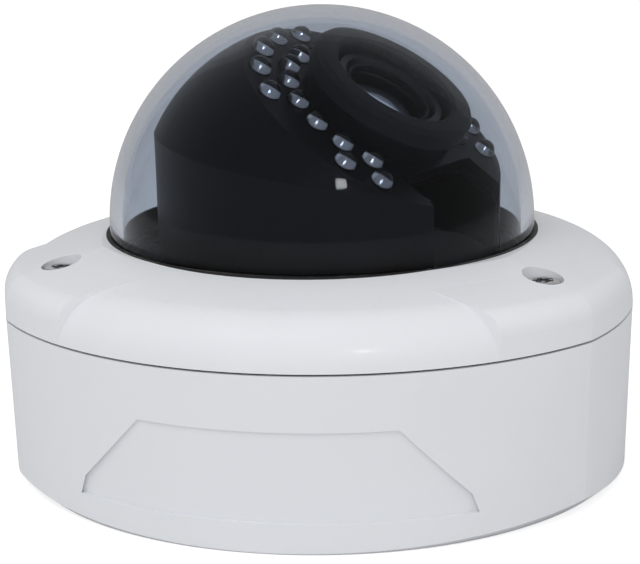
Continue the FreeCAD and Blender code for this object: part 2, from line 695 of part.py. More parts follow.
plate_back = "plate_front - plate_thick"
above = box("shroud_above", "4 * shroud_radius", "4 * shroud_radius", "shroud_radius", at(z=plate_back))
below = box("shroud_below", "4 * shroud_radius", "4 * shroud_radius", "2 * shroud_radius",
            UPRIGHT + " * " + at(z="-1 * shroud_skirt - 2 * shroud_radius"))
keep("module_shroud", cut("module_shroud", head_form("shroud_outer", "0"), head_form("shroud_inner", "shroud_wall"),
                          above, below, window("shroud")), HEAD)

lamp_places = []
for step in range(14):
    lamp_places.append(("lamp_inner_circle", "lamp_inner_start - %d * lamp_inner_pitch" % step))
for step in range(8):
    lamp_places.append(("lamp_outer_circle", "lamp_outer_start - %d * lamp_outer_pitch" % step))
for step in range(2):
    lamp_places.append(("lamp_outer_circle", "lamp_low_start - %d * lamp_low_pitch" % step))
    lamp_places.append(("lamp_outer_circle", "180 - lamp_low_start + %d * lamp_low_pitch" % step))
plate_slab = common("plate_slab", head_form("plate_outer", "0"),
                    box("plate_layer", "4 * shroud_radius", "4 * shroud_radius", "plate_thick", at(z=plate_back)))
lamps = []
lamp_holes = []
for step, (circle, angle) in enumerate(lamp_places):
    x = "%s * cos( %s )" % (circle, angle)
    y = "%s * sin( %s )" % (circle, angle)
    lamp_holes.append(cylinder("lamp_hole%d" % step, "lamp_radius + 0.15", "plate_thick + 4",
                               at(x, y, plate_back + " - 2")))
    stub = cylinder("lamp_stub%d" % step, "lamp_radius", "lamp_shoulder - ( %s ) - board_thick" % board_back,
                    at(x, y, board_back + " + board_thick"))
    lens = sphere("lamp_lens%d" % step, "lamp_radius", at(x, y, "lamp_shoulder"))
    foot = cylinder("lamp_foot%d" % step, "lamp_flange", "0.8", at(x, y, board_back + " + board_thick"))
    lamps.append(fuse("lamp%d" % step, stub, lens, foot))
plate_bore = cylinder("plate_bore", "front_radius + 0.8", "plate_thick + 4", at(z=plate_back + " - 2"))
keep("lamp_plate", cut("lamp_plate", plate_slab, plate_bore, window("plate"), *lamp_holes), HEAD)
board_blank = ring("board_blank", "front_radius + 2.6", "board_radius", board_back, board_back + " + board_thick")
board_round = common("board_round", board_blank, head_form("board_outer", "( shroud_wall + board_clear )"))
keep("lamp_board", cut("lamp_board", board_round, window("board")), HEAD)
keep("infrared_lamps", group("infrared_lamps", lamps), HEAD)

keep("hood_collar", lathe("hood_collar", [
    ("hood_bore", "plate_front"), ("collar_radius", "plate_front"), ("collar_radius", "collar_front"),
    ("hood_bore", "collar_front")]), HEAD)
keep("light_shield_ring", lathe("light_shield_ring", [
    ("hood_bore", "collar_front"), ("hood_radius - 0.6", "collar_front"), ("hood_radius", "collar_front + 0.8"),
    ("hood_radius", "hood_front - 1.2"), ("hood_radius - 1", "hood_front"), ("hood_bore + 0.8", "hood_front"),
    ("hood_bore", "hood_front - 0.8")]), HEAD)

# ---------------------------------------------------------------- lens
mount_low = "bracket_thick - bracket_back + stage_gap"
keep("lens_mount", lathe("lens_mount", [
    ("neck_radius - 3", "-1 * neck_back"), ("neck_radius", "-1 * neck_back"), ("neck_radius", mount_low),
    ("mount_flange", mount_low), ("mount_flange", mount_low + " + mount_thick"),
    ("barrel_bore", mount_low + " + mount_thick"), ("barrel_bore", mount_low), ("neck_radius - 3", mount_low)]), HEAD)
keep("mount_retainer", ring("mount_retainer", "neck_radius", "mount_flange",
                            "-1 * neck_back + 0.2", "-1 * bracket_back - stage_gap"), HEAD)
barrel_low = mount_low + " + mount_thick"
keep("lens_barrel", lathe("lens_barrel", [
    ("barrel_bore", barrel_low), ("barrel_radius", barrel_low), ("barrel_radius", "front_start"),
    ("front_radius", "front_start"), ("front_radius", "front_end"), ("front_radius - 1.6", "front_end"),
    ("front_glass + 0.4", "front_end - 3.4"), ("front_glass + 0.4", "front_end - 7"),
    ("barrel_bore - 1", "front_end - 7"), ("barrel_bore - 1", "front_start"), ("barrel_bore", "front_start")]), HEAD)


def lens_ring(label, start):
    """Turning ring on the barrel with a raised grip band."""
    return lathe(label, [
        ("barrel_radius + run_fit", start), ("ring_radius", start), ("ring_radius", start + " + ring_wide"),
        ("barrel_radius + run_fit", start + " + ring_wide")])


def lock_place(angle, start):
    return HEAD + " * " + at(z=start + " + ring_wide / 2", yaw=angle) + " * " + at(pitch="90")


LOCKS = {"zoom": ("zoom_start", "-100"), "focus": ("focus_start", "-60")}
for ring_name, (start, angle) in LOCKS.items():
    blank = lens_ring(ring_name + "_ring_blank", start)
    reach = cylinder(ring_name + "_lock_bore", "lock_stem + run_fit", "ring_radius + 2",
                     at(z=start + " + ring_wide / 2", yaw=angle, pitch="90"))
    keep(ring_name + "_ring", cut(ring_name + "_ring", blank, reach), HEAD)
    stem = cylinder(ring_name + "_stem", "lock_stem", "lock_start - barrel_radius - 0.3",
                    at(z="barrel_radius + 0.3"))
    grip = cylinder(ring_name + "_grip", "lock_radius", "lock_long", at(z="lock_start"))
    slot = box(ring_name + "_slot", "0.8", "3 * lock_radius", "1.2", at(z="lock_start + lock_long - 0.9"))
    keep(ring_name + "_lock_screw", cut(ring_name + "_lock_screw", fuse(ring_name + "_lock", stem, grip), slot),
         lock_place(angle, start))

keep("front_lens", lathe("front_lens", [
    ("0", "front_end - 7"), ("front_glass", "front_end - 7"), ("front_glass", "front_end - 4.6"),
    ("front_glass * 0.75", "front_end - 3.7"), ("front_glass * 0.4", "front_end - 3.1"),
    ("0", "front_end - 2.9")]), HEAD)
keep("iris", ring("iris", "2.2", "barrel_bore - 1", "front_start + 2", "front_start + 3"), HEAD)
keep("rear_lens", lathe("rear_lens", [
    ("0", "1"), ("barrel_bore * 0.5", "1.5"), ("barrel_bore", "2.4"), ("barrel_bore", "5"),
    ("0", "6")]), HEAD)

# ---------------------------------------------------------------- sensor and boards behind the lens
board_top = "-1 * sensor_depth"
sensor_board = box("sensor_pcb", "chip_board", "chip_board", "board_thick", at(z=board_top + " - board_thick"))
rear_low = board_top + " - board_thick - stack_gap - board_thick"
rear_board = box("rear_pcb", "chip_board", "chip_board", "board_thick", at(z=rear_low))
holes_a = []
holes_b = []
spacers = []
stack_screws = []
for step, (side, end) in enumerate(((1, 1), (1, -1), (-1, 1), (-1, -1))):
    x = "%d * spacer_reach" % side
    y = "%d * spacer_reach" % end
    holes_a.append(cylinder("sensor_hole%d" % step, "1.1", "6", at(x, y, board_top + " - 4")))
    holes_b.append(cylinder("rear_hole%d" % step, "1.1", "6", at(x, y, rear_low + " - 2")))
    spacers.append(cylinder("spacer%d" % step, "spacer_radius", "stack_gap", at(x, y, rear_low + " + board_thick")))
    stack_screws.append(cylinder("stack_screw%d" % step, "1.8", "1.1", at(x, y, rear_low + " - 1.1")))
keep("sensor_board", cut("sensor_board", sensor_board, *holes_a), HEAD)
keep("processor_board", cut("processor_board", rear_board, *holes_b), HEAD)
keep("board_spacers", group("board_spacers", spacers), HEAD)
keep("board_screws", group("board_screws", stack_screws), HEAD)
keep("image_sensor", box("image_sensor", "8", "7", "1.2", at(z=board_top)))
keep("infrared_cut_filter", cylinder("infrared_cut_filter", "barrel_bore + 1.5", "0.8", at(z=mount_low + " - 0.8")))
keep("processor_chip", box("processor_chip", "13", "13", "1.3", at("1", "2", rear_low + " - 1.3")))
keep("flat_cable_socket", box("flat_cable_socket", "15", "4", "2.6", at("0", "-10", rear_low + " - 2.6")))
for part_name in ("image_sensor", "infrared_cut_filter", "processor_chip", "flat_cable_socket"):
    piece = nodes[part_name]
    piece.setExpression("Placement", HEAD + " * " + dict(piece.ExpressionEngine)["Placement"])
standoffs = []
for step, (side, end) in enumerate(((1, 1), (1, -1), (-1, 1), (-1, -1))):
    standoffs.append(cylinder("mount_leg%d" % step, "1.4", "sensor_depth - neck_back",
                              at("%d * ( neck_radius - 1.5 ) * cos( 45 )" % side,
                                 "%d * ( neck_radius - 1.5 ) * sin( 45 )" % end, board_top)))
keep("sensor_board_legs", group("sensor_board_legs", standoffs), HEAD)

# ---------------------------------------------------------------- check and write
doc.recompute()
for item in doc.Objects:
    if "Invalid" in item.State or "Error" in item.State:
        raise RuntimeError("%s failed: %s" % (item.Label, item.State))
os.makedirs("parts", exist_ok=True)
for label, item in nodes.items():
    shape = item.Shape
    if shape.isNull() or not shape.isValid() or not shape.Solids:
        raise RuntimeError("%s has no sound solid" % label)
for label, item in nodes.items():
    item.Shape.exportStep("parts/%s.step" % label)
print(len(nodes), "sub-parts written")
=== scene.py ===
import json
import math

import bmesh
import bpy
from mathutils import Matrix, Vector


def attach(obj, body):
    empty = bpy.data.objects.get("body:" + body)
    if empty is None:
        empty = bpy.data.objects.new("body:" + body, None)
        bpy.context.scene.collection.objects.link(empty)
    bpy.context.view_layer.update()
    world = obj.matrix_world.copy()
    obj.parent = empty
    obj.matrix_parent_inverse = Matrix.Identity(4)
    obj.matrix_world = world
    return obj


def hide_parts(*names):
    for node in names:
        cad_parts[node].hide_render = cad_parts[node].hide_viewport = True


bl_info = {
    "name": "Dome Camera Finish",
    "version": (1, 0, 0),
    "blender": (4, 5, 0),
    "location": "View3D > Sidebar > Dome Camera",
    "description": "Finishes, lamps, screws, optics and studio for a dome camera",
    "category": "Object",
}

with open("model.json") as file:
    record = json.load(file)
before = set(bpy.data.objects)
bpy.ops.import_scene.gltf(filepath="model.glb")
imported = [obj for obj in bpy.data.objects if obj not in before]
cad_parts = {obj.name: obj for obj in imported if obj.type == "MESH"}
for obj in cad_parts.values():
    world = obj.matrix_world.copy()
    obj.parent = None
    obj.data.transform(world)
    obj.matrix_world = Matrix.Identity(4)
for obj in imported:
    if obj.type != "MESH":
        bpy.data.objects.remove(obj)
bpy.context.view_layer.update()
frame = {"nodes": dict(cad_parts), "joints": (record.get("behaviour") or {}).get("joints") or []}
NODES = frame["nodes"]
JOINTS = {joint["name"]: joint for joint in frame["joints"]}
MM = 0.001


# ------------------------------------------------------------------ places taken from the frame
def axis_of(joint):
    return Vector(JOINTS[joint]["axis"]).normalized()


def head_frame():
    """Lens axis as Z and tilt axis as X, from the tilt pivot."""
    across = axis_of("tilt")
    along = axis_of("lens_rotate")
    up = along.cross(across)
    turn = Matrix((across, up, along)).transposed().to_4x4()
    return Matrix.Translation(Vector(JOINTS["tilt"]["pos_m"])) @ turn


HEAD = head_frame()


def axis_frame(joint):
    """A joint's own axis as Z, from its own place."""
    along = axis_of(joint)
    turn = along.to_track_quat("Z", "Y").to_matrix().to_4x4()
    return Matrix.Translation(Vector(JOINTS[joint]["pos_m"])) @ turn


def points_of(node, place=Matrix()):
    back = place.inverted()
    return [back @ vertex.co for vertex in NODES[node].data.vertices]


def span(node, place=Matrix()):
    """A node's lowest and highest corner, and its widest radius about Z, in a given frame."""
    points = points_of(node, place)
    low = Vector([min(point[i] for point in points) for i in range(3)])
    high = Vector([max(point[i] for point in points) for i in range(3)])
    return low, high, max(math.hypot(point.x, point.y) for point in points)


def least_radius(node, place=Matrix()):
    return min(math.hypot(point.x, point.y) for point in points_of(node, place))


def islands(node, place=Matrix()):
    """The points of each separate solid of a node, in a given frame."""
    mesh = bmesh.new()
    mesh.from_mesh(NODES[node].data)
    bmesh.ops.remove_doubles(mesh, verts=mesh.verts, dist=1e-6)
    back = place.inverted()
    left = set(mesh.verts)
    found = []
    while left:
        queue = [left.pop()]
        solid = []
        while queue:
            vertex = queue.pop()
            solid.append(back @ vertex.co)
            for edge in vertex.link_edges:
                other = edge.other_vert(vertex)
                if other in left:
                    left.remove(other)
                    queue.append(other)
        found.append(solid)
    mesh.free()
    return found


def middle_of(solid):
    low = [min(point[i] for point in solid) for i in range(3)]
    high = [max(point[i] for point in solid) for i in range(3)]
    return Vector([(a + b) / 2 for a, b in zip(low, high)])


# ------------------------------------------------------------------ settings
class DomeLook(bpy.types.PropertyGroup):
    paint: bpy.props.FloatVectorProperty(
        name="Paint", description="Colour of the castings", subtype="COLOR", size=3,
        default=(0.795, 0.815, 0.850), min=0, max=1)
    paint_gloss: bpy.props.FloatProperty(
        name="Paint Roughness", description="Roughness of the paint", default=0.38, min=0, max=1,
        subtype="FACTOR")
    shroud: bpy.props.FloatVectorProperty(
        name="Shroud", description="Colour of the black mouldings", subtype="COLOR", size=3,
        default=(0.0060, 0.0065, 0.0085), min=0, max=1)
    hood: bpy.props.FloatVectorProperty(
        name="Light Shield", description="Colour of the rubber ring round the lens", subtype="COLOR",
        size=3, default=(0.020, 0.021, 0.024), min=0, max=1)
    bubble_index: bpy.props.FloatProperty(
        name="Bubble Index", description="How strongly the bubble bends light", default=1.22, min=1, max=2)
    bubble_tint: bpy.props.FloatVectorProperty(
        name="Bubble Tint", description="Colour of the bubble", subtype="COLOR", size=3,
        default=(0.74, 0.79, 0.87), min=0, max=1)
    grain: bpy.props.FloatProperty(
        name="Grain", description="Spacing of the moulded grain", default=0.9 * MM, subtype="DISTANCE",
        unit="LENGTH")


class DomeShape(bpy.types.PropertyGroup):
    lamp_nose: bpy.props.FloatProperty(
        name="Lamp Nose", description="Radius of each lamp's rounded nose", default=2.5 * MM, unit="LENGTH")
    lamp_cup: bpy.props.FloatProperty(
        name="Lamp Cup", description="Radius of the metal cup in each lamp", default=1.75 * MM,
        unit="LENGTH")
    knurl_ribs: bpy.props.IntProperty(
        name="Knurl Ribs", description="Ridges round a lock screw", default=22, min=6, max=60)
    grip_ribs: bpy.props.IntProperty(
        name="Grip Ribs", description="Ridges round a lens ring", default=60, min=12, max=120)
    screw_pin: bpy.props.FloatProperty(
        name="Screw Pin", description="Radius of the pin in each corner screw", default=0.5 * MM,
        unit="LENGTH")
    head_crown: bpy.props.FloatProperty(
        name="Head Crown", description="Rise of a corner screw's rounded head", default=0.45 * MM,
        unit="LENGTH")
    chip_gap: bpy.props.FloatProperty(
        name="Chip Gap", description="Least spacing of the small parts on a board", default=2.6 * MM,
        unit="LENGTH")


class DomeStage(bpy.types.PropertyGroup):
    azimuth: bpy.props.FloatProperty(
        name="Azimuth", description="Turn of the camera round the object", default=math.radians(10.6),
        subtype="ANGLE", unit="ROTATION")
    elevation: bpy.props.FloatProperty(
        name="Elevation", description="Height of the camera over the horizon", default=math.radians(13.9),
        subtype="ANGLE", unit="ROTATION")
    roll: bpy.props.FloatProperty(
        name="Roll", description="Lean of the camera", default=math.radians(-0.9), subtype="ANGLE",
        unit="ROTATION")
    distance: bpy.props.FloatProperty(
        name="Distance", description="From the camera to its aim", default=0.4835, unit="LENGTH")
    aim: bpy.props.FloatVectorProperty(
        name="Aim", description="Point the camera looks at", default=(-0.0007, 0.0, 0.0415), subtype="XYZ",
        unit="LENGTH")
    focal: bpy.props.FloatProperty(
        name="Focal Length", description="In millimetres on a 36 mm sensor", default=114.0)
    key: bpy.props.FloatProperty(name="Key", description="Power of the high front light in watts",
                                 default=3.0)
    fill: bpy.props.FloatProperty(name="Fill", description="Power of each side light in watts", default=0.6)
    spark: bpy.props.FloatProperty(name="Spark", description="Power of the small hard light in watts",
                                   default=0.5)
    sky: bpy.props.FloatProperty(name="Sky", description="Strength of the soft surrounding light",
                                 default=0.66)
    sweep_glow: bpy.props.FloatProperty(
        name="Sweep Glow", description="Light the sweep adds towards the camera only", default=0.6)
    mirror_sky: bpy.props.FloatProperty(
        name="Mirrored Sky", description="Strength of the surroundings in reflections", default=0.30)


def look():
    return bpy.context.scene.dome_look


def shape():
    return bpy.context.scene.dome_shape


def studio():
    return bpy.context.scene.dome_stage


# ------------------------------------------------------------------ shared shader groups
def new_group(name, inputs, outputs):
    """An empty shader node group with its sockets; gives the tree, its input and its output node."""
    tree = bpy.data.node_groups.new(name, "ShaderNodeTree")
    for label, kind, value in inputs:
        socket = tree.interface.new_socket(name=label, in_out="INPUT", socket_type=kind)
        if value is not None:
            socket.default_value = value
    for label, kind in outputs:
        tree.interface.new_socket(name=label, in_out="OUTPUT", socket_type=kind)
    return tree, tree.nodes.new("NodeGroupInput"), tree.nodes.new("NodeGroupOutput")


def link_math(tree, operation, first, second):
    """A Math node between sockets or plain numbers."""
    node = tree.nodes.new("ShaderNodeMath")
    node.operation = operation
    node.use_clamp = operation in ("MULTIPLY", "ADD")
    for socket, value in zip(node.inputs, (first, second)):
        if isinstance(value, (int, float)):
            socket.default_value = value
        else:
            tree.links.new(value, socket)
    return node.outputs[0]


def ramp(tree, source, low, high):
    node = tree.nodes.new("ShaderNodeMapRange")
    node.interpolation_type = "SMOOTHSTEP"
    node.inputs["From Min"].default_value = low
    node.inputs["From Max"].default_value = high
    tree.links.new(source, node.inputs["Value"])
    return node.outputs["Result"]


def noise(tree, place, scale, detail, seed=0.0):
    node = tree.nodes.new("ShaderNodeTexNoise")
    node.noise_dimensions = "4D"
    node.inputs["W"].default_value = seed
    node.inputs["Detail"].default_value = detail
    if isinstance(scale, (int, float)):
        node.inputs["Scale"].default_value = scale
    else:
        tree.links.new(scale, node.inputs["Scale"])
    tree.links.new(place, node.inputs["Vector"])
    return node.outputs["Fac"]


def make_grain_group():
    """Height and cloudiness of a moulded, cast or painted skin."""
    tree, start, end = new_group(
        "Skin Grain",
        [("Place", "NodeSocketVector", None), ("Spacing", "NodeSocketFloat", 0.001),
         ("Fineness", "NodeSocketFloat", 3.0)],
        [("Height", "NodeSocketFloat"), ("Cloud", "NodeSocketFloat")])
    scale = link_math(tree, "DIVIDE", 1.0, start.outputs["Spacing"])
    fine = noise(tree, start.outputs["Place"], scale, 3.0, 2.0)
    finer = noise(tree, start.outputs["Place"],
                  link_math(tree, "MULTIPLY", scale, start.outputs["Fineness"]), 2.0, 5.0)
    height = link_math(tree, "MULTIPLY", link_math(tree, "ADD", fine, finer), 0.5)
    cloud = ramp(tree, noise(tree, start.outputs["Place"], 22.0, 3.0, 9.0), 0.3, 0.7)
    tree.links.new(height, end.inputs["Height"])
    tree.links.new(cloud, end.inputs["Cloud"])
    return tree


def make_dust_group():
    """Mask of settled dust: upward faces, broken up by noise."""
    tree, start, end = new_group(
        "Settled Dust", [("Place", "NodeSocketVector", None), ("Amount", "NodeSocketFloat", 0.3)],
        [("Mask", "NodeSocketFloat")])
    surface = tree.nodes.new("ShaderNodeNewGeometry")
    parts = tree.nodes.new("ShaderNodeSeparateXYZ")
    tree.links.new(surface.outputs["Normal"], parts.inputs[0])
    upward = ramp(tree, parts.outputs["Z"], 0.35, 0.95)
    specks = ramp(tree, noise(tree, start.outputs["Place"], 420.0, 4.0, 3.0), 0.52, 0.75)
    haze = ramp(tree, noise(tree, start.outputs["Place"], 35.0, 3.0, 7.0), 0.35, 0.8)
    both = link_math(tree, "ADD", link_math(tree, "MULTIPLY", specks, 0.6),
                     link_math(tree, "MULTIPLY", haze, 0.5))
    mask = link_math(tree, "MULTIPLY", link_math(tree, "MULTIPLY", upward, both), start.outputs["Amount"])
    tree.links.new(mask, end.inputs["Mask"])
    return tree


def make_rub_group():
    """Mask of fine handling marks: thin stretched streaks in patches."""
    tree, start, end = new_group(
        "Handling Marks", [("Place", "NodeSocketVector", None), ("Amount", "NodeSocketFloat", 0.3)],
        [("Mask", "NodeSocketFloat")])
    stretch = tree.nodes.new("ShaderNodeMapping")
    stretch.inputs["Rotation"].default_value = (0.4, 0.9, 0.3)
    stretch.inputs["Scale"].default_value = (1.0, 14.0, 5.0)
    tree.links.new(start.outputs["Place"], stretch.inputs["Vector"])
    streak = ramp(tree, noise(tree, stretch.outputs[0], 90.0, 4.0, 11.0), 0.62, 0.74)
    patch = ramp(tree, noise(tree, start.outputs["Place"], 30.0, 2.0, 13.0), 0.45, 0.65)
    mask = link_math(tree, "MULTIPLY", link_math(tree, "MULTIPLY", streak, patch), start.outputs["Amount"])
    tree.links.new(mask, end.inputs["Mask"])
    return tree


GROUPS = {}


def place_group(tree, key, place, **values):
    makers = {"grain": make_grain_group, "dust": make_dust_group, "rub": make_rub_group}
    if key not in GROUPS:
        GROUPS[key] = makers[key]()
    node = tree.nodes.new("ShaderNodeGroup")
    node.node_tree = GROUPS[key]
    tree.links.new(place, node.inputs["Place"])
    for label, value in values.items():
        node.inputs[label].default_value = value
    return node


def mix_colour(tree, mask, first, second):
    node = tree.nodes.new("ShaderNodeMix")
    node.data_type = "RGBA"
    tree.links.new(mask, node.inputs["Factor"])
    for socket, value in ((node.inputs["A"], first), (node.inputs["B"], second)):
        if hasattr(value, "links"):
            tree.links.new(value, socket)
        else:
            socket.default_value = (*value, 1.0)
    return [socket for socket in node.outputs if socket.type == "RGBA"][0]


def shade(colour, factor):
    return tuple(min(1.0, channel * factor) for channel in colour)


def skin(name, colour, roughness=0.5, metallic=0.0, spacing=1.0 * MM, bump=0.02 * MM, cloud=0.12, dust=0.2,
         rub=0.2, rub_colour=None, dust_colour=(0.42, 0.41, 0.39), coat=0.0, specular=0.5):
    """A solid finish: grain in colour, roughness and height, with marks and dust over it."""
    material = bpy.data.materials.new(name)
    material.use_nodes = True
    tree = material.node_tree
    shader = tree.nodes["Principled BSDF"]
    place = tree.nodes.new("ShaderNodeTexCoord").outputs["Object"]
    grain = place_group(tree, "grain", place, Spacing=spacing)
    marks = place_group(tree, "rub", place, Amount=rub)
    settled = place_group(tree, "dust", place, Amount=dust)
    tone = mix_colour(tree, grain.outputs["Cloud"], shade(colour, 1 - cloud), shade(colour, 1 + cloud))
    tone = mix_colour(tree, marks.outputs["Mask"], tone, rub_colour or shade(colour, 1.5))
    tone = mix_colour(tree, settled.outputs["Mask"], tone, dust_colour)
    tree.links.new(tone, shader.inputs["Base Color"])
    gloss = tree.nodes.new("ShaderNodeMapRange")
    gloss.inputs["To Min"].default_value = max(0.02, roughness - 0.07)
    gloss.inputs["To Max"].default_value = min(1.0, roughness + 0.09)
    tree.links.new(grain.outputs["Height"], gloss.inputs["Value"])
    tree.links.new(gloss.outputs["Result"], shader.inputs["Roughness"])
    relief = tree.nodes.new("ShaderNodeBump")
    relief.inputs["Distance"].default_value = bump
    relief.inputs["Strength"].default_value = 1.0
    tree.links.new(grain.outputs["Height"], relief.inputs["Height"])
    tree.links.new(relief.outputs["Normal"], shader.inputs["Normal"])
    shader.inputs["Metallic"].default_value = metallic
    shader.inputs["Coat Weight"].default_value = coat
    shader.inputs["Coat Roughness"].default_value = 0.12
    shader.inputs["Specular IOR Level"].default_value = specular
    return material


def clear(name, colour, index=1.45, roughness=0.02, haze=0.0):
    """A clear finish with faint wipe marks in its roughness."""
    material = bpy.data.materials.new(name)
    material.use_nodes = True
    tree = material.node_tree
    shader = tree.nodes["Principled BSDF"]
    place = tree.nodes.new("ShaderNodeTexCoord").outputs["Object"]
    marks = place_group(tree, "rub", place, Amount=1.0)
    gloss = tree.nodes.new("ShaderNodeMapRange")
    gloss.inputs["To Min"].default_value = roughness
    gloss.inputs["To Max"].default_value = roughness + haze
    tree.links.new(marks.outputs["Mask"], gloss.inputs["Value"])
    tree.links.new(gloss.outputs["Result"], shader.inputs["Roughness"])
    shader.inputs["Base Color"].default_value = (*colour, 1.0)
    shader.inputs["Transmission Weight"].default_value = 1.0
    shader.inputs["IOR"].default_value = index
    return material


def dress(material, *names):
    """Give carried-over nodes a finish."""
    for name in names:
        slots = NODES[name].data.materials
        if not len(slots):
            slots.append(material)
        for number in range(len(slots)):
            slots[number] = material


# ------------------------------------------------------------------ mesh tools
def add_piece(name, mesh, body, material=None, smooth_angle=35.0, replaced=()):
    """Link a finished mesh as a piece that rides on a body."""
    if material:
        mesh.materials.clear()
        mesh.materials.append(material)
    for polygon in mesh.polygons:
        polygon.use_smooth = True
    mesh.set_sharp_from_angle(angle=math.radians(smooth_angle))
    piece = bpy.data.objects.new(name, mesh)
    bpy.context.scene.collection.objects.link(piece)
    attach(piece, body)
    if replaced:
        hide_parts(*replaced)
    return piece


def to_mesh(name, mesh, place=Matrix()):
    bmesh.ops.remove_doubles(mesh, verts=mesh.verts, dist=1e-7)
    bmesh.ops.recalc_face_normals(mesh, faces=mesh.faces)
    data = bpy.data.meshes.new(name)
    mesh.to_mesh(data)
    mesh.free()
    data.transform(place)
    return data


def turn_profile(mesh, profile, steps=64, place=Matrix()):
    """Spin a closed list of (radius, height) points about Z into a mesh under construction."""
    rings = []
    for radius, height in profile:
        if radius < 1e-7:
            rings.append([mesh.verts.new(place @ Vector((0, 0, height)))])
            continue
        rings.append([mesh.verts.new(place @ Vector((radius * math.cos(2 * math.pi * i / steps),
                                                     radius * math.sin(2 * math.pi * i / steps), height)))
                      for i in range(steps)])
    for first, second in zip(rings, rings[1:] + rings[:1]):
        if len(first) == 1 and len(second) == 1:
            continue
        for i in range(steps):
            j = (i + 1) % steps
            corners = [first[i % len(first)], first[j % len(first)]]
            corners += [second[j % len(second)], second[i % len(second)]]
            mesh.faces.new(list(dict.fromkeys(corners)))


def bow(centre, radius, start, end, steps):
    """Points of an arc in the (radius, height) plane; angles in degrees from the outward direction."""
    angles = [math.radians(start + (end - start) * i / steps) for i in range(steps + 1)]
    return [(centre[0] + radius * math.cos(a), centre[1] + radius * math.sin(a)) for a in angles]


def add_prism(mesh, sides, radius, low, high, place=Matrix(), turn=0.0):
    """A closed upright prism."""
    lower = []
    upper = []
    for i in range(sides):
        angle = turn + 2 * math.pi * i / sides
        x, y = radius * math.cos(angle), radius * math.sin(angle)
        lower.append(mesh.verts.new(place @ Vector((x, y, low))))
        upper.append(mesh.verts.new(place @ Vector((x, y, high))))
    mesh.faces.new(lower[::-1])
    mesh.faces.new(upper)
    for i in range(sides):
        j = (i + 1) % sides
        mesh.faces.new((lower[i], lower[j], upper[j], upper[i]))


# ------------------------------------------------------------------ geometry node trees
def node_tree(name, inputs):
    tree = bpy.data.node_groups.new(name, "GeometryNodeTree")
    tree.is_modifier = True
    tree.interface.new_socket(name="Geometry", in_out="INPUT", socket_type="NodeSocketGeometry")
    for label, kind in inputs:
        tree.interface.new_socket(name=label, in_out="INPUT", socket_type=kind)
    tree.interface.new_socket(name="Geometry", in_out="OUTPUT", socket_type="NodeSocketGeometry")
    return tree, tree.nodes.new("NodeGroupInput"), tree.nodes.new("NodeGroupOutput")


def close_tree(tree, start, end, source):
    """Realize, colour and put out."""
    real = tree.nodes.new("GeometryNodeRealizeInstances")
    colour = tree.nodes.new("GeometryNodeSetMaterial")
    tree.links.new(source, real.inputs["Geometry"])
    tree.links.new(real.outputs["Geometry"], colour.inputs["Geometry"])
    tree.links.new(start.outputs["Finish"], colour.inputs["Material"])
    tree.links.new(colour.outputs["Geometry"], end.inputs["Geometry"])
    return tree


def copies_tree():
    """One object set at every point of a mesh, all turned alike."""
    tree, start, end = node_tree("Copies On Points", [
        ("Copy", "NodeSocketObject"), ("Turn", "NodeSocketVector"), ("Size", "NodeSocketFloat"),
        ("Finish", "NodeSocketMaterial")])
    info = tree.nodes.new("GeometryNodeObjectInfo")
    setting = tree.nodes.new("GeometryNodeInstanceOnPoints")
    turn = tree.nodes.new("FunctionNodeEulerToRotation")
    tree.links.new(start.outputs["Copy"], info.inputs["Object"])
    tree.links.new(start.outputs["Turn"], turn.inputs[0])
    tree.links.new(start.outputs["Geometry"], setting.inputs["Points"])
    tree.links.new(info.outputs["Geometry"], setting.inputs["Instance"])
    tree.links.new(turn.outputs[0], setting.inputs["Rotation"])
    tree.links.new(start.outputs["Size"], setting.inputs["Scale"])
    return close_tree(tree, start, end, setting.outputs["Instances"])


def ribs_tree():
    """Straight ridges spaced evenly round the Z axis."""
    tree, start, end = node_tree("Ribs Round A Ring", [
        ("Count", "NodeSocketInt"), ("Radius", "NodeSocketFloat"), ("Rib Size", "NodeSocketVector"),
        ("Finish", "NodeSocketMaterial")])
    circle = tree.nodes.new("GeometryNodeMeshCircle")
    rib = tree.nodes.new("GeometryNodeMeshCube")
    setting = tree.nodes.new("GeometryNodeInstanceOnPoints")
    face = tree.nodes.new("FunctionNodeAlignRotationToVector")
    face.axis = "X"
    position = tree.nodes.new("GeometryNodeInputPosition")
    tree.links.new(start.outputs["Count"], circle.inputs["Vertices"])
    tree.links.new(start.outputs["Radius"], circle.inputs["Radius"])
    tree.links.new(start.outputs["Rib Size"], rib.inputs["Size"])
    tree.links.new(circle.outputs["Mesh"], setting.inputs["Points"])
    tree.links.new(rib.outputs["Mesh"], setting.inputs["Instance"])
    tree.links.new(position.outputs[0], face.inputs["Vector"])
    tree.links.new(face.outputs[0], setting.inputs["Rotation"])
    return close_tree(tree, start, end, setting.outputs["Instances"])


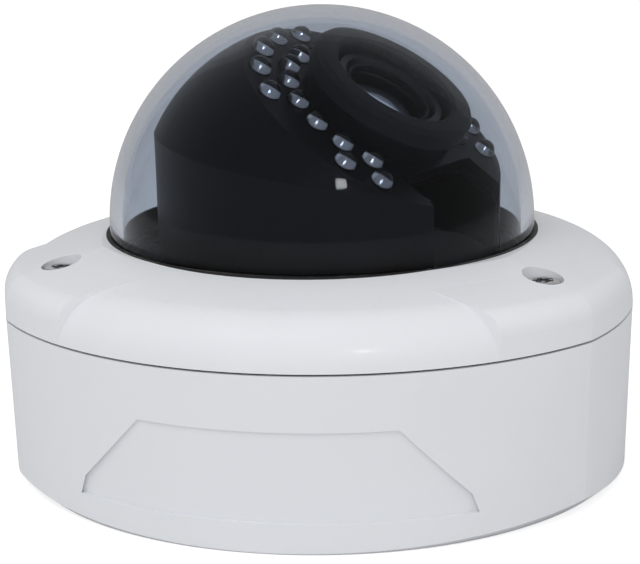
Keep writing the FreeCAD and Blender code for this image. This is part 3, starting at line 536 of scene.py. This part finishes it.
def chips_tree():
    """Small blocks of random sizes spread over a sheet without touching."""
    tree, start, end = node_tree("Chips On A Board", [
        ("Gap", "NodeSocketFloat"), ("Seed", "NodeSocketInt"), ("Smallest", "NodeSocketVector"),
        ("Largest", "NodeSocketVector"), ("Finish", "NodeSocketMaterial")])
    spread = tree.nodes.new("GeometryNodeDistributePointsOnFaces")
    spread.distribute_method = "POISSON"
    spread.inputs["Density Max"].default_value = 4e5
    block = tree.nodes.new("GeometryNodeMeshCube")
    block.inputs["Size"].default_value = (1.0, 1.0, 1.0)
    size = tree.nodes.new("FunctionNodeRandomValue")
    size.data_type = "FLOAT_VECTOR"
    setting = tree.nodes.new("GeometryNodeInstanceOnPoints")
    tree.links.new(start.outputs["Geometry"], spread.inputs["Mesh"])
    tree.links.new(start.outputs["Gap"], spread.inputs["Distance Min"])
    tree.links.new(start.outputs["Seed"], spread.inputs["Seed"])
    tree.links.new(start.outputs["Smallest"], size.inputs["Min"])
    tree.links.new(start.outputs["Largest"], size.inputs["Max"])
    tree.links.new(start.outputs["Seed"], size.inputs["Seed"])
    tree.links.new(spread.outputs["Points"], setting.inputs["Points"])
    tree.links.new(block.outputs["Mesh"], setting.inputs["Instance"])
    tree.links.new(size.outputs[0], setting.inputs["Scale"])
    return close_tree(tree, start, end, setting.outputs["Instances"])


TREES = {}


def grow(key, mesh, place=Matrix(), **values):
    """Run a node tree on a mesh and give the plain mesh it makes."""
    makers = {"copies": copies_tree, "ribs": ribs_tree, "chips": chips_tree}
    if key not in TREES:
        TREES[key] = makers[key]()
    tree = TREES[key]
    holder = bpy.data.objects.new(key, mesh)
    bpy.context.scene.collection.objects.link(holder)
    modifier = holder.modifiers.new(key, "NODES")
    modifier.node_group = tree
    sockets = {item.name: item.identifier for item in tree.interface.items_tree
               if item.item_type == "SOCKET" and item.in_out == "INPUT"}
    for label, value in values.items():
        modifier[sockets[label.replace("_", " ")]] = value
    bpy.context.view_layer.update()
    result = bpy.data.meshes.new_from_object(holder.evaluated_get(bpy.context.evaluated_depsgraph_get()))
    bpy.data.objects.remove(holder)
    result.transform(place)
    return result


def point_mesh(points):
    mesh = bpy.data.meshes.new("points")
    mesh.from_pydata([tuple(point) for point in points], [], [])
    return mesh


def copies(mesh, points, turn, material, place=Matrix()):
    """Copies of one mesh at points, turned by a rotation matrix, as one plain mesh."""
    source = bpy.data.objects.new("copy_source", mesh)
    bpy.context.scene.collection.objects.link(source)
    result = grow("copies", point_mesh(points), place, Copy=source, Turn=tuple(turn.to_euler()), Size=1.0,
                  Finish=material)
    bpy.data.objects.remove(source)
    return result


# ------------------------------------------------------------------ finishes of the carried-over nodes
def dress_castings():
    paint = skin("Satin Paint", tuple(look().paint), look().paint_gloss, spacing=look().grain,
                 bump=0.004 * MM, cloud=0.012, dust=0.06, rub=0.05, coat=0.15,
                 rub_colour=shade(tuple(look().paint), 0.9))
    dress(paint, "base_housing", "top_cover")
    dress(skin("Plug Plastic", shade(tuple(look().paint), 0.92), 0.5, spacing=0.6 * MM, bump=0.006 * MM,
               cloud=0.03),
          "conduit_plug")
    dress(skin("Seal Rubber", (0.010, 0.010, 0.011), 0.62, spacing=0.5 * MM, bump=0.02 * MM, dust=0.5),
          "cover_seal", "dome_gasket", "cable_grommet", "conduit_plug_seal")


def dress_metalwork():
    plated = skin("Zinc Plate", (0.52, 0.53, 0.55), 0.34, metallic=1.0, spacing=2.5 * MM, bump=0.004 * MM,
                  cloud=0.18, rub=0.5, rub_colour=(0.75, 0.75, 0.76))
    dress(plated, "dome_clamp_ring", "pan_turntable", "left_arm", "right_arm", "tilt_bracket")
    dress(skin("Stainless", (0.62, 0.62, 0.63), 0.26, metallic=1.0, spacing=0.8 * MM, bump=0.003 * MM,
               cloud=0.1, rub=0.4, rub_colour=(0.8, 0.8, 0.8)),
          "clamp_ring_screws", "screw_washers", "power_board_screws", "arm_screws", "tilt_pivot_screws",
          "board_screws")
    dress(skin("Turned Brass", (0.58, 0.40, 0.16), 0.28, metallic=1.0, spacing=0.5 * MM, bump=0.003 * MM,
               rub=0.4, rub_colour=(0.75, 0.58, 0.30)),
          "power_board_posts", "head_posts", "sensor_board_legs", "board_spacers", "pan_lock_knob")
    dress(skin("Acetal", (0.016, 0.016, 0.018), 0.45, spacing=0.7 * MM, bump=0.008 * MM),
          "pan_base", "pan_retainer", "tilt_friction_washers")


def dress_head():
    black = tuple(look().shroud)
    dress(skin("Black Moulding", black, 0.42, spacing=0.5 * MM, bump=0.003 * MM, cloud=0.2, dust=0.01,
               rub=0.04, rub_colour=(0.02, 0.02, 0.023), specular=0.2),
          "module_shroud", "lamp_plate", "hood_collar")
    dress(skin("Lens Black", shade(black, 1.3), 0.33, spacing=0.4 * MM, bump=0.003 * MM, dust=0.02,
               rub=0.08, rub_colour=(0.06, 0.06, 0.06)),
          "lens_barrel", "lens_mount", "mount_retainer", "iris")
    dress(skin("Shield Rubber", tuple(look().hood), 0.62, spacing=0.35 * MM, bump=0.012 * MM, cloud=0.1,
               dust=0.05, rub=0.1, rub_colour=(0.09, 0.09, 0.095), specular=0.35),
          "light_shield_ring")


def dress_boards():
    dress(skin("Green Board", (0.012, 0.085, 0.035), 0.28, spacing=1.2 * MM, bump=0.01 * MM, cloud=0.25,
               coat=0.4, rub_colour=(0.03, 0.16, 0.07)),
          "power_board", "sensor_board", "processor_board")
    dress(skin("Black Board", (0.008, 0.008, 0.009), 0.32, spacing=1.2 * MM, bump=0.01 * MM, cloud=0.25,
               coat=0.3),
          "lamp_board")
    dress(skin("Connector Plastic", (0.62, 0.60, 0.52), 0.4, spacing=0.4 * MM, bump=0.006 * MM),
          "video_connector", "flat_cable_socket")
    dress(skin("Terminal Plastic", (0.02, 0.16, 0.06), 0.38, spacing=0.4 * MM, bump=0.006 * MM),
          "power_terminal")
    dress(skin("Chip Package", (0.010, 0.010, 0.010), 0.5, spacing=0.2 * MM, bump=0.004 * MM),
          "processor_chip", "image_sensor")
    dress(clear("Filter Glass", (0.45, 0.85, 0.95), 1.5), "infrared_cut_filter")
    dress(clear("Rear Glass", (0.85, 0.92, 1.0), 1.5), "rear_lens")


# ------------------------------------------------------------------ bubble
def build_bubble():
    """Clear shell: half ball on a short straight skirt, with the flange that is clamped under the cover."""
    low, high, flange = span("dome_bubble")
    skirt_points = [point for point in points_of("dome_bubble") if point.z > span("dome_gasket")[1].z + MM]
    radius = max(math.hypot(point.x, point.y) for point in skirt_points)
    inner = least_radius_above("dome_bubble", low.z + MM)
    wall = radius - inner
    centre = high.z - radius
    flange_top = span("dome_gasket")[0].z
    blend = 0.6 * MM
    outside = bow((0, centre), radius, 90, 0, 56)
    skirt = [(radius, centre - (centre - flange_top - blend) * i / 3) for i in range(1, 4)]
    root = bow((radius + blend, flange_top + blend), blend, 180, 270, 4)[1:]
    rim = [(flange, flange_top), (flange, low.z), (radius - wall, low.z)]
    inside = bow((0, centre), radius - wall, 0, 90, 56)
    mesh = bmesh.new()
    turn_profile(mesh, outside + skirt + root + rim + inside, 160)
    bubble = clear("Bubble Plastic", tuple(look().bubble_tint), look().bubble_index, 0.0, 0.02)
    add_piece("clear_bubble", to_mesh("clear_bubble", mesh), "cover", bubble, 40, ["dome_bubble"])


def least_radius_above(node, height):
    """Inner radius of a bowl, read where its wall is upright."""
    points = [point for point in points_of(node) if abs(point.z - height) < 2 * MM]
    return min(math.hypot(point.x, point.y) for point in points)


# ------------------------------------------------------------------ lamps
def lamp_shell(radius, flange, seat, tip):
    """Round-nosed lamp with its foot."""
    shoulder = tip - radius
    return [(0, seat), (flange, seat), (flange, seat + 0.8 * MM), (radius, seat + 0.85 * MM)] + \
        bow((0, shoulder), radius, 0, 90, 10)


def build_lamps():
    """Infrared lamps: clear resin, a bright cup and a small chip in each."""
    solids = islands("infrared_lamps", HEAD)
    middles = [middle_of(solid) for solid in solids]
    low, high, _ = span("infrared_lamps", HEAD)
    spots = [Vector((middle.x, middle.y, 0)) for middle in middles]
    reach = max((point - Vector((spots[0].x, spots[0].y, point.z))).length for point in solids[0])
    radius = shape().lamp_nose
    steps = 24
    resin = bmesh.new()
    turn_profile(resin, lamp_shell(radius, reach, low.z, high.z), steps)
    shoulder = high.z - radius
    cup_top = shoulder - 0.35 * MM
    cup_radius = shape().lamp_cup
    cup_depth = 1.5 * MM
    cup_wall = 0.12 * MM
    cup_floor = cup_top - cup_depth
    cup_foot = cup_floor - 0.2 * MM
    cup_outer = cup_radius + cup_wall
    cup = bmesh.new()
    turn_profile(cup, [(0, cup_floor), (0.45 * MM, cup_floor), (cup_radius, cup_top), (cup_outer, cup_top),
                       (cup_outer, cup_top - 0.3 * MM), (0.6 * MM, cup_foot), (0, cup_foot)], steps)
    chip = bmesh.new()
    add_prism(chip, 4, 0.42 * MM, cup_top - 1.48 * MM, cup_top - 1.1 * MM, turn=0.4)
    lamp_resin = clear("Lamp Resin", (0.96, 0.98, 1.0), 1.45, 0.0)
    cup_metal = skin("Lamp Cup", (0.62, 0.63, 0.67), 0.22, metallic=1.0, spacing=0.5 * MM, bump=0.03 * MM,
                     cloud=0.3, dust=0, rub=0)
    chip_finish = skin("Lamp Chip", (0.25, 0.12, 0.14), 0.3, spacing=0.2 * MM, bump=0.001 * MM, dust=0,
                       rub=0)
    for name, part, finish, replaced in (("lamp_lenses", resin, lamp_resin, ["infrared_lamps"]),
                                         ("lamp_cups", cup, cup_metal, ()),
                                         ("lamp_chips", chip, chip_finish, ())):
        mesh = copies(to_mesh(name, part), spots, Matrix(), finish, HEAD)
        add_piece(name, mesh, "head", None, 40, replaced)


# ------------------------------------------------------------------ screws
def socket_screw(radius, head_low, head_high, shaft, tip, pin):
    """Pan-head screw with a six-lobed socket and a centre pin, and thread rings on its shaft."""
    mesh = bmesh.new()
    socket = radius * 0.56
    floor = head_high - 1.3 * MM
    crown = 0.9 * MM
    turns = 14
    thread = []
    for i in range(turns + 1):
        z = tip + (head_low - 4 * MM - tip) * i / turns
        thread += [(shaft, z), (shaft * 0.88, z + 0.3 * MM), (shaft * 0.88, z + 0.45 * MM),
                   (shaft, z + 0.75 * MM)]
    profile = [(0, tip)] + thread + [(shaft, head_low), (radius, head_low), (radius, head_high - crown)]
    profile += bow((radius - crown, head_high - crown), crown, 10, 90, 6)
    profile += [(socket + 0.15 * MM, head_high), (socket, head_high - 0.15 * MM), (socket, floor),
                (pin, floor), (pin, head_high - 0.35 * MM), (pin * 0.7, head_high - 0.25 * MM),
                (0, head_high - 0.25 * MM)]
    turn_profile(mesh, profile, 40)
    for i in range(6):
        angle = math.pi * i / 3
        place = Matrix.Translation((socket * math.cos(angle), socket * math.sin(angle), 0))
        add_prism(mesh, 10, socket * 0.27, floor, head_high - 0.12 * MM, place)
    return mesh


def build_corner_screws():
    """Three tamper-resistant screws through the cover's corners."""
    solids = islands("cover_screws")
    heads = []
    for solid in solids:
        low = min(point.z for point in solid)
        if max(point.z for point in solid) - low > 10 * MM:
            heads.append(solid)
    spots = [Vector((middle_of(solid).x, middle_of(solid).y, 0)) for solid in heads]
    low = min(point.z for point in heads[0])
    high = max(point.z for point in heads[0]) + shape().head_crown
    seat = span("screw_washers")[1].z
    head_radius = max(math.hypot(point.x - spots[0].x, point.y - spots[0].y) for point in heads[0])
    foot = [point for point in heads[0] if point.z < low + MM]
    shaft = max(math.hypot(point.x - spots[0].x, point.y - spots[0].y) for point in foot)
    screw = socket_screw(head_radius, seat, high, shaft, low, shape().screw_pin)
    bright = skin("Bright Steel", (0.66, 0.66, 0.67), 0.2, metallic=1.0, spacing=0.6 * MM,
                  bump=0.004 * MM, cloud=0.15, rub=0.6, rub_colour=(0.85, 0.85, 0.85))
    mesh = copies(to_mesh("corner_screw", screw), spots, Matrix.Rotation(0.5, 3, "Z"), bright)
    add_piece("corner_screws", mesh, "cover", None, 35, ["cover_screws"])


def build_lock_screw(kind, material):
    """Knurled thumb screw standing on a lens ring."""
    place = axis_frame(kind + "_lock_turn")
    node = kind + "_lock_screw"
    low, high, radius = span(node, place)
    points = points_of(node, place)
    stem = max(math.hypot(point.x, point.y) for point in points if point.z < low.z + 0.5 * MM)
    grip = min(point.z for point in points if math.hypot(point.x, point.y) > (radius + stem) / 2)
    core = radius - 0.18 * MM
    mesh = bmesh.new()
    collar = core * 0.86
    turn_profile(mesh, [(0, low.z), (stem, low.z), (stem, grip), (core * 0.8, grip), (core, grip + 0.35 * MM),
                        (core, high.z - 1.1 * MM), (collar, high.z - 0.9 * MM), (collar, high.z - 0.25 * MM),
                        (core * 0.72, high.z), (0, high.z)], 36)
    body = kind + "_lock"
    add_piece(kind + "_lock_core", to_mesh(kind + "_lock_core", mesh, place), body,
              material, 30, [node])
    length = high.z - grip - 1.7 * MM
    lift = Matrix.Translation((0, 0, grip + 0.4 * MM + length / 2))
    ribs = grow("ribs", point_mesh([(0, 0, 0)]), place @ lift, Count=shape().knurl_ribs, Radius=core,
                Rib_Size=(0.36 * MM, 0.34 * MM, length), Finish=material)
    add_piece(kind + "_lock_knurl", ribs, body, None, 30)


def build_lens_ring(kind, material):
    """Lens ring with straight grip ridges round it."""
    low, high, radius = span(kind + "_ring", HEAD)
    bore = least_radius(kind + "_ring", HEAD)
    edge = 0.35 * MM
    rib = 0.4 * MM
    mesh = bmesh.new()
    turn_profile(mesh, [(bore, low.z), (radius - rib - edge, low.z), (radius - rib, low.z + edge),
                        (radius - rib, high.z - edge), (radius - rib - edge, high.z), (bore, high.z)], 96)
    add_piece(kind + "_sleeve", to_mesh(kind + "_sleeve", mesh, HEAD), kind, material, 30,
              [kind + "_ring"])
    tall = high.z - low.z - 1.6 * MM
    lift = Matrix.Translation((0, 0, (low.z + high.z) / 2))
    ribs = grow("ribs", point_mesh([(0, 0, 0)]), HEAD @ lift, Count=shape().grip_ribs, Radius=radius - rib,
                Rib_Size=(2 * rib, 0.7 * MM, tall), Finish=material)
    add_piece(kind + "_grip", ribs, kind, None, 30)


def build_adjusters():
    chrome = skin("Knurled Chrome", (0.74, 0.74, 0.76), 0.16, metallic=1.0, spacing=0.5 * MM,
                  bump=0.002 * MM, rub=0.4, rub_colour=(0.9, 0.9, 0.9))
    ring_black = skin("Ring Black", (0.011, 0.011, 0.012), 0.42, spacing=0.4 * MM, bump=0.004 * MM,
                      dust=0.03)
    for kind in ("zoom", "focus"):
        build_lock_screw(kind, chrome)
        build_lens_ring(kind, ring_black)


# ------------------------------------------------------------------ optics
def build_optics():
    """Coated front glass, and stepped rings in the bore in front of it."""
    low, high, radius = span("front_lens", HEAD)
    edge = 1.0 * MM
    sag = high.z - low.z - edge
    curve = (radius * radius + sag * sag) / (2 * sag)
    half = math.degrees(math.asin(radius / curve))
    front = bow((0, high.z - curve), curve, 90 - half, 90, 18)
    mesh = bmesh.new()
    turn_profile(mesh, [(0, low.z), (radius, low.z)] + front, 72)
    glass = clear("Coated Glass", (0.80, 0.86, 1.0), 1.62, 0.0)
    add_piece("front_glass", to_mesh("front_glass", mesh, HEAD), "lens", glass, 40, ["front_lens"])
    black = skin("Baffle Black", (0.006, 0.006, 0.007), 0.5, spacing=0.4 * MM, bump=0.003 * MM, dust=0,
                 rub=0)
    baffles = bmesh.new()
    bore = least_radius_between("lens_barrel", high.z + 0.4 * MM, high.z + 4 * MM)
    base = high.z + 0.15 * MM
    outer, inner = bore - 0.02 * MM, bore - 0.55 * MM
    for step in range(3):
        z = base + step * 0.75 * MM
        turn_profile(baffles, [(inner, z), (outer, z), (outer, z + 0.35 * MM), (inner, z + 0.2 * MM)], 72)
    add_piece("bore_baffles", to_mesh("bore_baffles", baffles, HEAD), "lens", black, 30)


def least_radius_between(node, low, high):
    points = [point for point in points_of(node, HEAD) if low <= point.z <= high]
    return min(math.hypot(point.x, point.y) for point in points)


# ------------------------------------------------------------------ small parts on the boards
def board_sheet(low, high, height, inset):
    mesh = bpy.data.meshes.new("sheet")
    corners = [(low.x + inset, low.y + inset, height), (high.x - inset, low.y + inset, height),
               (high.x - inset, high.y - inset, height), (low.x + inset, high.y - inset, height)]
    mesh.from_pydata(corners, [], [(0, 1, 2, 3)])
    return mesh


def bay_frame():
    """The power board's own frame: Z up, Y towards the dome's axis, from the board's middle."""
    low, high, _ = span("power_board")
    middle = (low + high) / 2
    facing = math.atan2(middle.y, middle.x) + math.pi / 2
    return Matrix.Translation(Vector((middle.x, middle.y, high.z))) @ Matrix.Rotation(facing, 4, "Z")


def build_board_parts():
    """Small chips on the lens's rear board, and chips and capacitors on the power board."""
    dark = skin("Small Parts", (0.020, 0.018, 0.016), 0.45, spacing=0.3 * MM, bump=0.004 * MM)
    bay = bay_frame()
    strip = board_sheet(Vector((-15, 4.6, 0)) * MM, Vector((15, 8.2, 0)) * MM, 0.45 * MM, 0.6 * MM)
    chips = grow("chips", strip, bay, Gap=shape().chip_gap, Seed=7, Smallest=(0.9 * MM, 0.7 * MM, 0.9 * MM),
                 Largest=(2.0 * MM, 1.4 * MM, 0.9 * MM), Finish=dark)
    add_piece("power_board_parts", chips, "base", None, 30)
    sleeve = skin("Capacitor Sleeve", (0.012, 0.014, 0.030), 0.35, spacing=0.5 * MM, bump=0.004 * MM)
    can = bmesh.new()
    can_profile = [(0, 0), (2.2 * MM, 0), (2.4 * MM, 0.4 * MM), (2.4 * MM, 5.8 * MM), (2.1 * MM, 6.3 * MM),
                   (1.7 * MM, 6.1 * MM), (0, 6.1 * MM)]
    for x in (-17.0 * MM, 17.0 * MM):
        turn_profile(can, can_profile, 32, Matrix.Translation((x, 0, 0)))
    add_piece("capacitors", to_mesh("capacitors", can, bay), "base", sleeve, 35)
    low, high, _ = span("sensor_board", HEAD)
    tall = 0.9 * MM
    sheet = board_sheet(low, high, low.z - tall / 2, 5 * MM)
    small = grow("chips", sheet, HEAD, Gap=shape().chip_gap, Seed=4, Smallest=(0.8 * MM, 0.6 * MM, tall),
                 Largest=(1.7 * MM, 1.2 * MM, tall), Finish=dark)
    add_piece("sensor_board_parts", small, "lens", None, 30)


# ------------------------------------------------------------------ stage
def add_light(name, size, power, place, aim, seen=False):
    """A soft rectangular light; unless seen, mirrors and clear things don't show it."""
    lamp = bpy.data.lights.new(name, "AREA")
    lamp.shape = "RECTANGLE"
    lamp.size, lamp.size_y = size
    lamp.energy = power
    item = bpy.data.objects.new(name, lamp)
    item.location = place
    item.rotation_euler = (Vector(aim) - Vector(place)).to_track_quat("-Z", "Y").to_euler()
    item.visible_glossy = seen
    item.visible_transmission = seen
    bpy.context.scene.collection.objects.link(item)


def make_surround(tree, strength, mirrored):
    """White light all round, which polished and clear things see as a dimmer room."""
    sky = tree.nodes["Background"]
    sky.inputs["Color"].default_value = (1, 1, 1, 1)
    path = tree.nodes.new("ShaderNodeLightPath")
    level = tree.nodes.new("ShaderNodeMapRange")
    level.inputs["To Min"].default_value = strength
    level.inputs["To Max"].default_value = mirrored
    dim = link_math(tree, "ADD", path.outputs["Is Glossy Ray"], path.outputs["Is Transmission Ray"])
    tree.links.new(dim, level.inputs["Value"])
    tree.links.new(level.outputs["Result"], sky.inputs["Strength"])


def build_stage():
    """Pale sweep, soft light and the camera."""
    settings = studio()
    mesh = bmesh.new()
    half, front, back_edge, bend, top = 1.6, -2.2, 0.9, 0.6, 2.2
    curve = [(front, 0.0), (back_edge, 0.0)]
    for degrees in range(9, 91, 9):
        angle = math.radians(degrees)
        curve.append((back_edge + bend * math.sin(angle), bend - bend * math.cos(angle)))
    curve.append((back_edge + bend, top))
    rows = [[mesh.verts.new((x, y, z)) for x in (-half, half)] for y, z in curve]
    for first, second in zip(rows, rows[1:]):
        mesh.faces.new((first[0], first[1], second[1], second[0]))
    data = bpy.data.meshes.new("sweep")
    mesh.to_mesh(data)
    mesh.free()
    for polygon in data.polygons:
        polygon.use_smooth = True
    paper = skin("Pale Sweep", (0.70, 0.70, 0.70), 0.8, spacing=4 * MM, bump=0.0, cloud=0.005, dust=0,
                 rub=0, specular=0.1)
    glow = paper.node_tree.nodes["Principled BSDF"]
    glow.inputs["Emission Color"].default_value = (1, 1, 1, 1)
    seen = paper.node_tree.nodes.new("ShaderNodeLightPath").outputs["Is Camera Ray"]
    paper.node_tree.links.new(link_math(paper.node_tree, "MULTIPLY", seen, settings.sweep_glow),
                              glow.inputs["Emission Strength"])
    data.materials.append(paper)
    sweep = bpy.data.objects.new("sweep", data)
    bpy.context.scene.collection.objects.link(sweep)
    world = bpy.data.worlds.new("Soft Surround")
    bpy.context.scene.world = world
    world.use_nodes = True
    make_surround(world.node_tree, settings.sky, settings.mirror_sky)
    middle = (0, 0, 0.05)
    add_light("front_panel", (0.7, 0.5), settings.key, (-0.2, -0.65, 1.05), middle)
    add_light("low_panel", (0.6, 0.3), settings.fill, (-0.1, -1.0, 0.25), middle)
    add_light("left_panel", (0.5, 0.7), settings.fill, (-0.9, -0.1, 0.5), middle)
    add_light("right_panel", (0.35, 0.6), settings.fill, (0.85, -0.15, 0.55), middle)
    add_light("spark", (0.08, 0.08), settings.spark, (0.30, -0.75, 0.50), middle, True)
    azimuth, elevation = settings.azimuth, settings.elevation
    back = Vector((math.sin(azimuth) * math.cos(elevation), -math.cos(azimuth) * math.cos(elevation),
                   math.sin(elevation)))
    camera_data = bpy.data.cameras.new("camera")
    camera_data.lens = settings.focal
    camera_data.sensor_width = 36.0
    camera_data.clip_start = 0.01
    camera = bpy.data.objects.new("camera", camera_data)
    camera.location = Vector(settings.aim) + back * settings.distance
    aim = (-back).to_track_quat("-Z", "Y").to_matrix() @ Matrix.Rotation(settings.roll, 3, "Z")
    camera.rotation_euler = aim.to_euler()
    bpy.context.scene.collection.objects.link(camera)
    bpy.context.scene.camera = camera
    bpy.context.scene.view_settings.view_transform = "Standard"


# ------------------------------------------------------------------ operators and panel
def operator(idname, label, words, work):
    """An operator class that runs one building function."""
    def execute(self, context):
        work()
        return {"FINISHED"}
    return type("DOMECAM_OT_" + idname, (bpy.types.Operator,), {
        "bl_idname": "domecam." + idname, "bl_label": label, "__doc__": words, "execute": execute})


STEPS = [
    operator("castings", "Paint Castings", "Paint the base and cover, and finish the seals", dress_castings),
    operator("metalwork", "Finish Metalwork", "Finish plates, screws and spacers", dress_metalwork),
    operator("head", "Finish Head", "Finish the black mouldings and the light shield", dress_head),
    operator("boards", "Finish Boards", "Finish the circuit boards and filters", dress_boards),
    operator("bubble", "Build Bubble", "Build the clear bubble", build_bubble),
    operator("lamps", "Build Lamps", "Build the ring of infrared lamps", build_lamps),
    operator("corner_screws", "Build Corner Screws", "Build the cover's screws", build_corner_screws),
    operator("adjusters", "Build Adjusters", "Build the lens rings and their lock screws", build_adjusters),
    operator("optics", "Build Optics", "Build the front glass and the bore", build_optics),
    operator("board_parts", "Build Board Parts", "Build the small parts on the boards", build_board_parts),
    operator("stage", "Build Stage", "Build the sweep, the lights and the camera", build_stage),
]


class DOMECAM_PT_panel(bpy.types.Panel):
    """Settings and steps of the dome camera"""
    bl_idname = "DOMECAM_PT_panel"
    bl_label = "Dome Camera"
    bl_space_type = "VIEW_3D"
    bl_region_type = "UI"
    bl_category = "Dome Camera"

    def draw(self, context):
        scene = context.scene
        for group in (scene.dome_look, scene.dome_shape, scene.dome_stage):
            box = self.layout.box()
            for name in group.bl_rna.properties.keys():
                if name not in ("rna_type", "name"):
                    box.prop(group, name)
        for step in STEPS:
            self.layout.operator(step.bl_idname)


CLASSES = [DomeLook, DomeShape, DomeStage, *STEPS, DOMECAM_PT_panel]


def register():
    for item in CLASSES:
        bpy.utils.register_class(item)
    bpy.types.Scene.dome_look = bpy.props.PointerProperty(type=DomeLook)
    bpy.types.Scene.dome_shape = bpy.props.PointerProperty(type=DomeShape)
    bpy.types.Scene.dome_stage = bpy.props.PointerProperty(type=DomeStage)


def unregister():
    del bpy.types.Scene.dome_stage
    del bpy.types.Scene.dome_shape
    del bpy.types.Scene.dome_look
    for item in reversed(CLASSES):
        bpy.utils.unregister_class(item)


def main():
    register()
    for step in STEPS:
        getattr(bpy.ops.domecam, step.bl_idname.split(".")[1])()


if __name__ == "__main__":
    main()
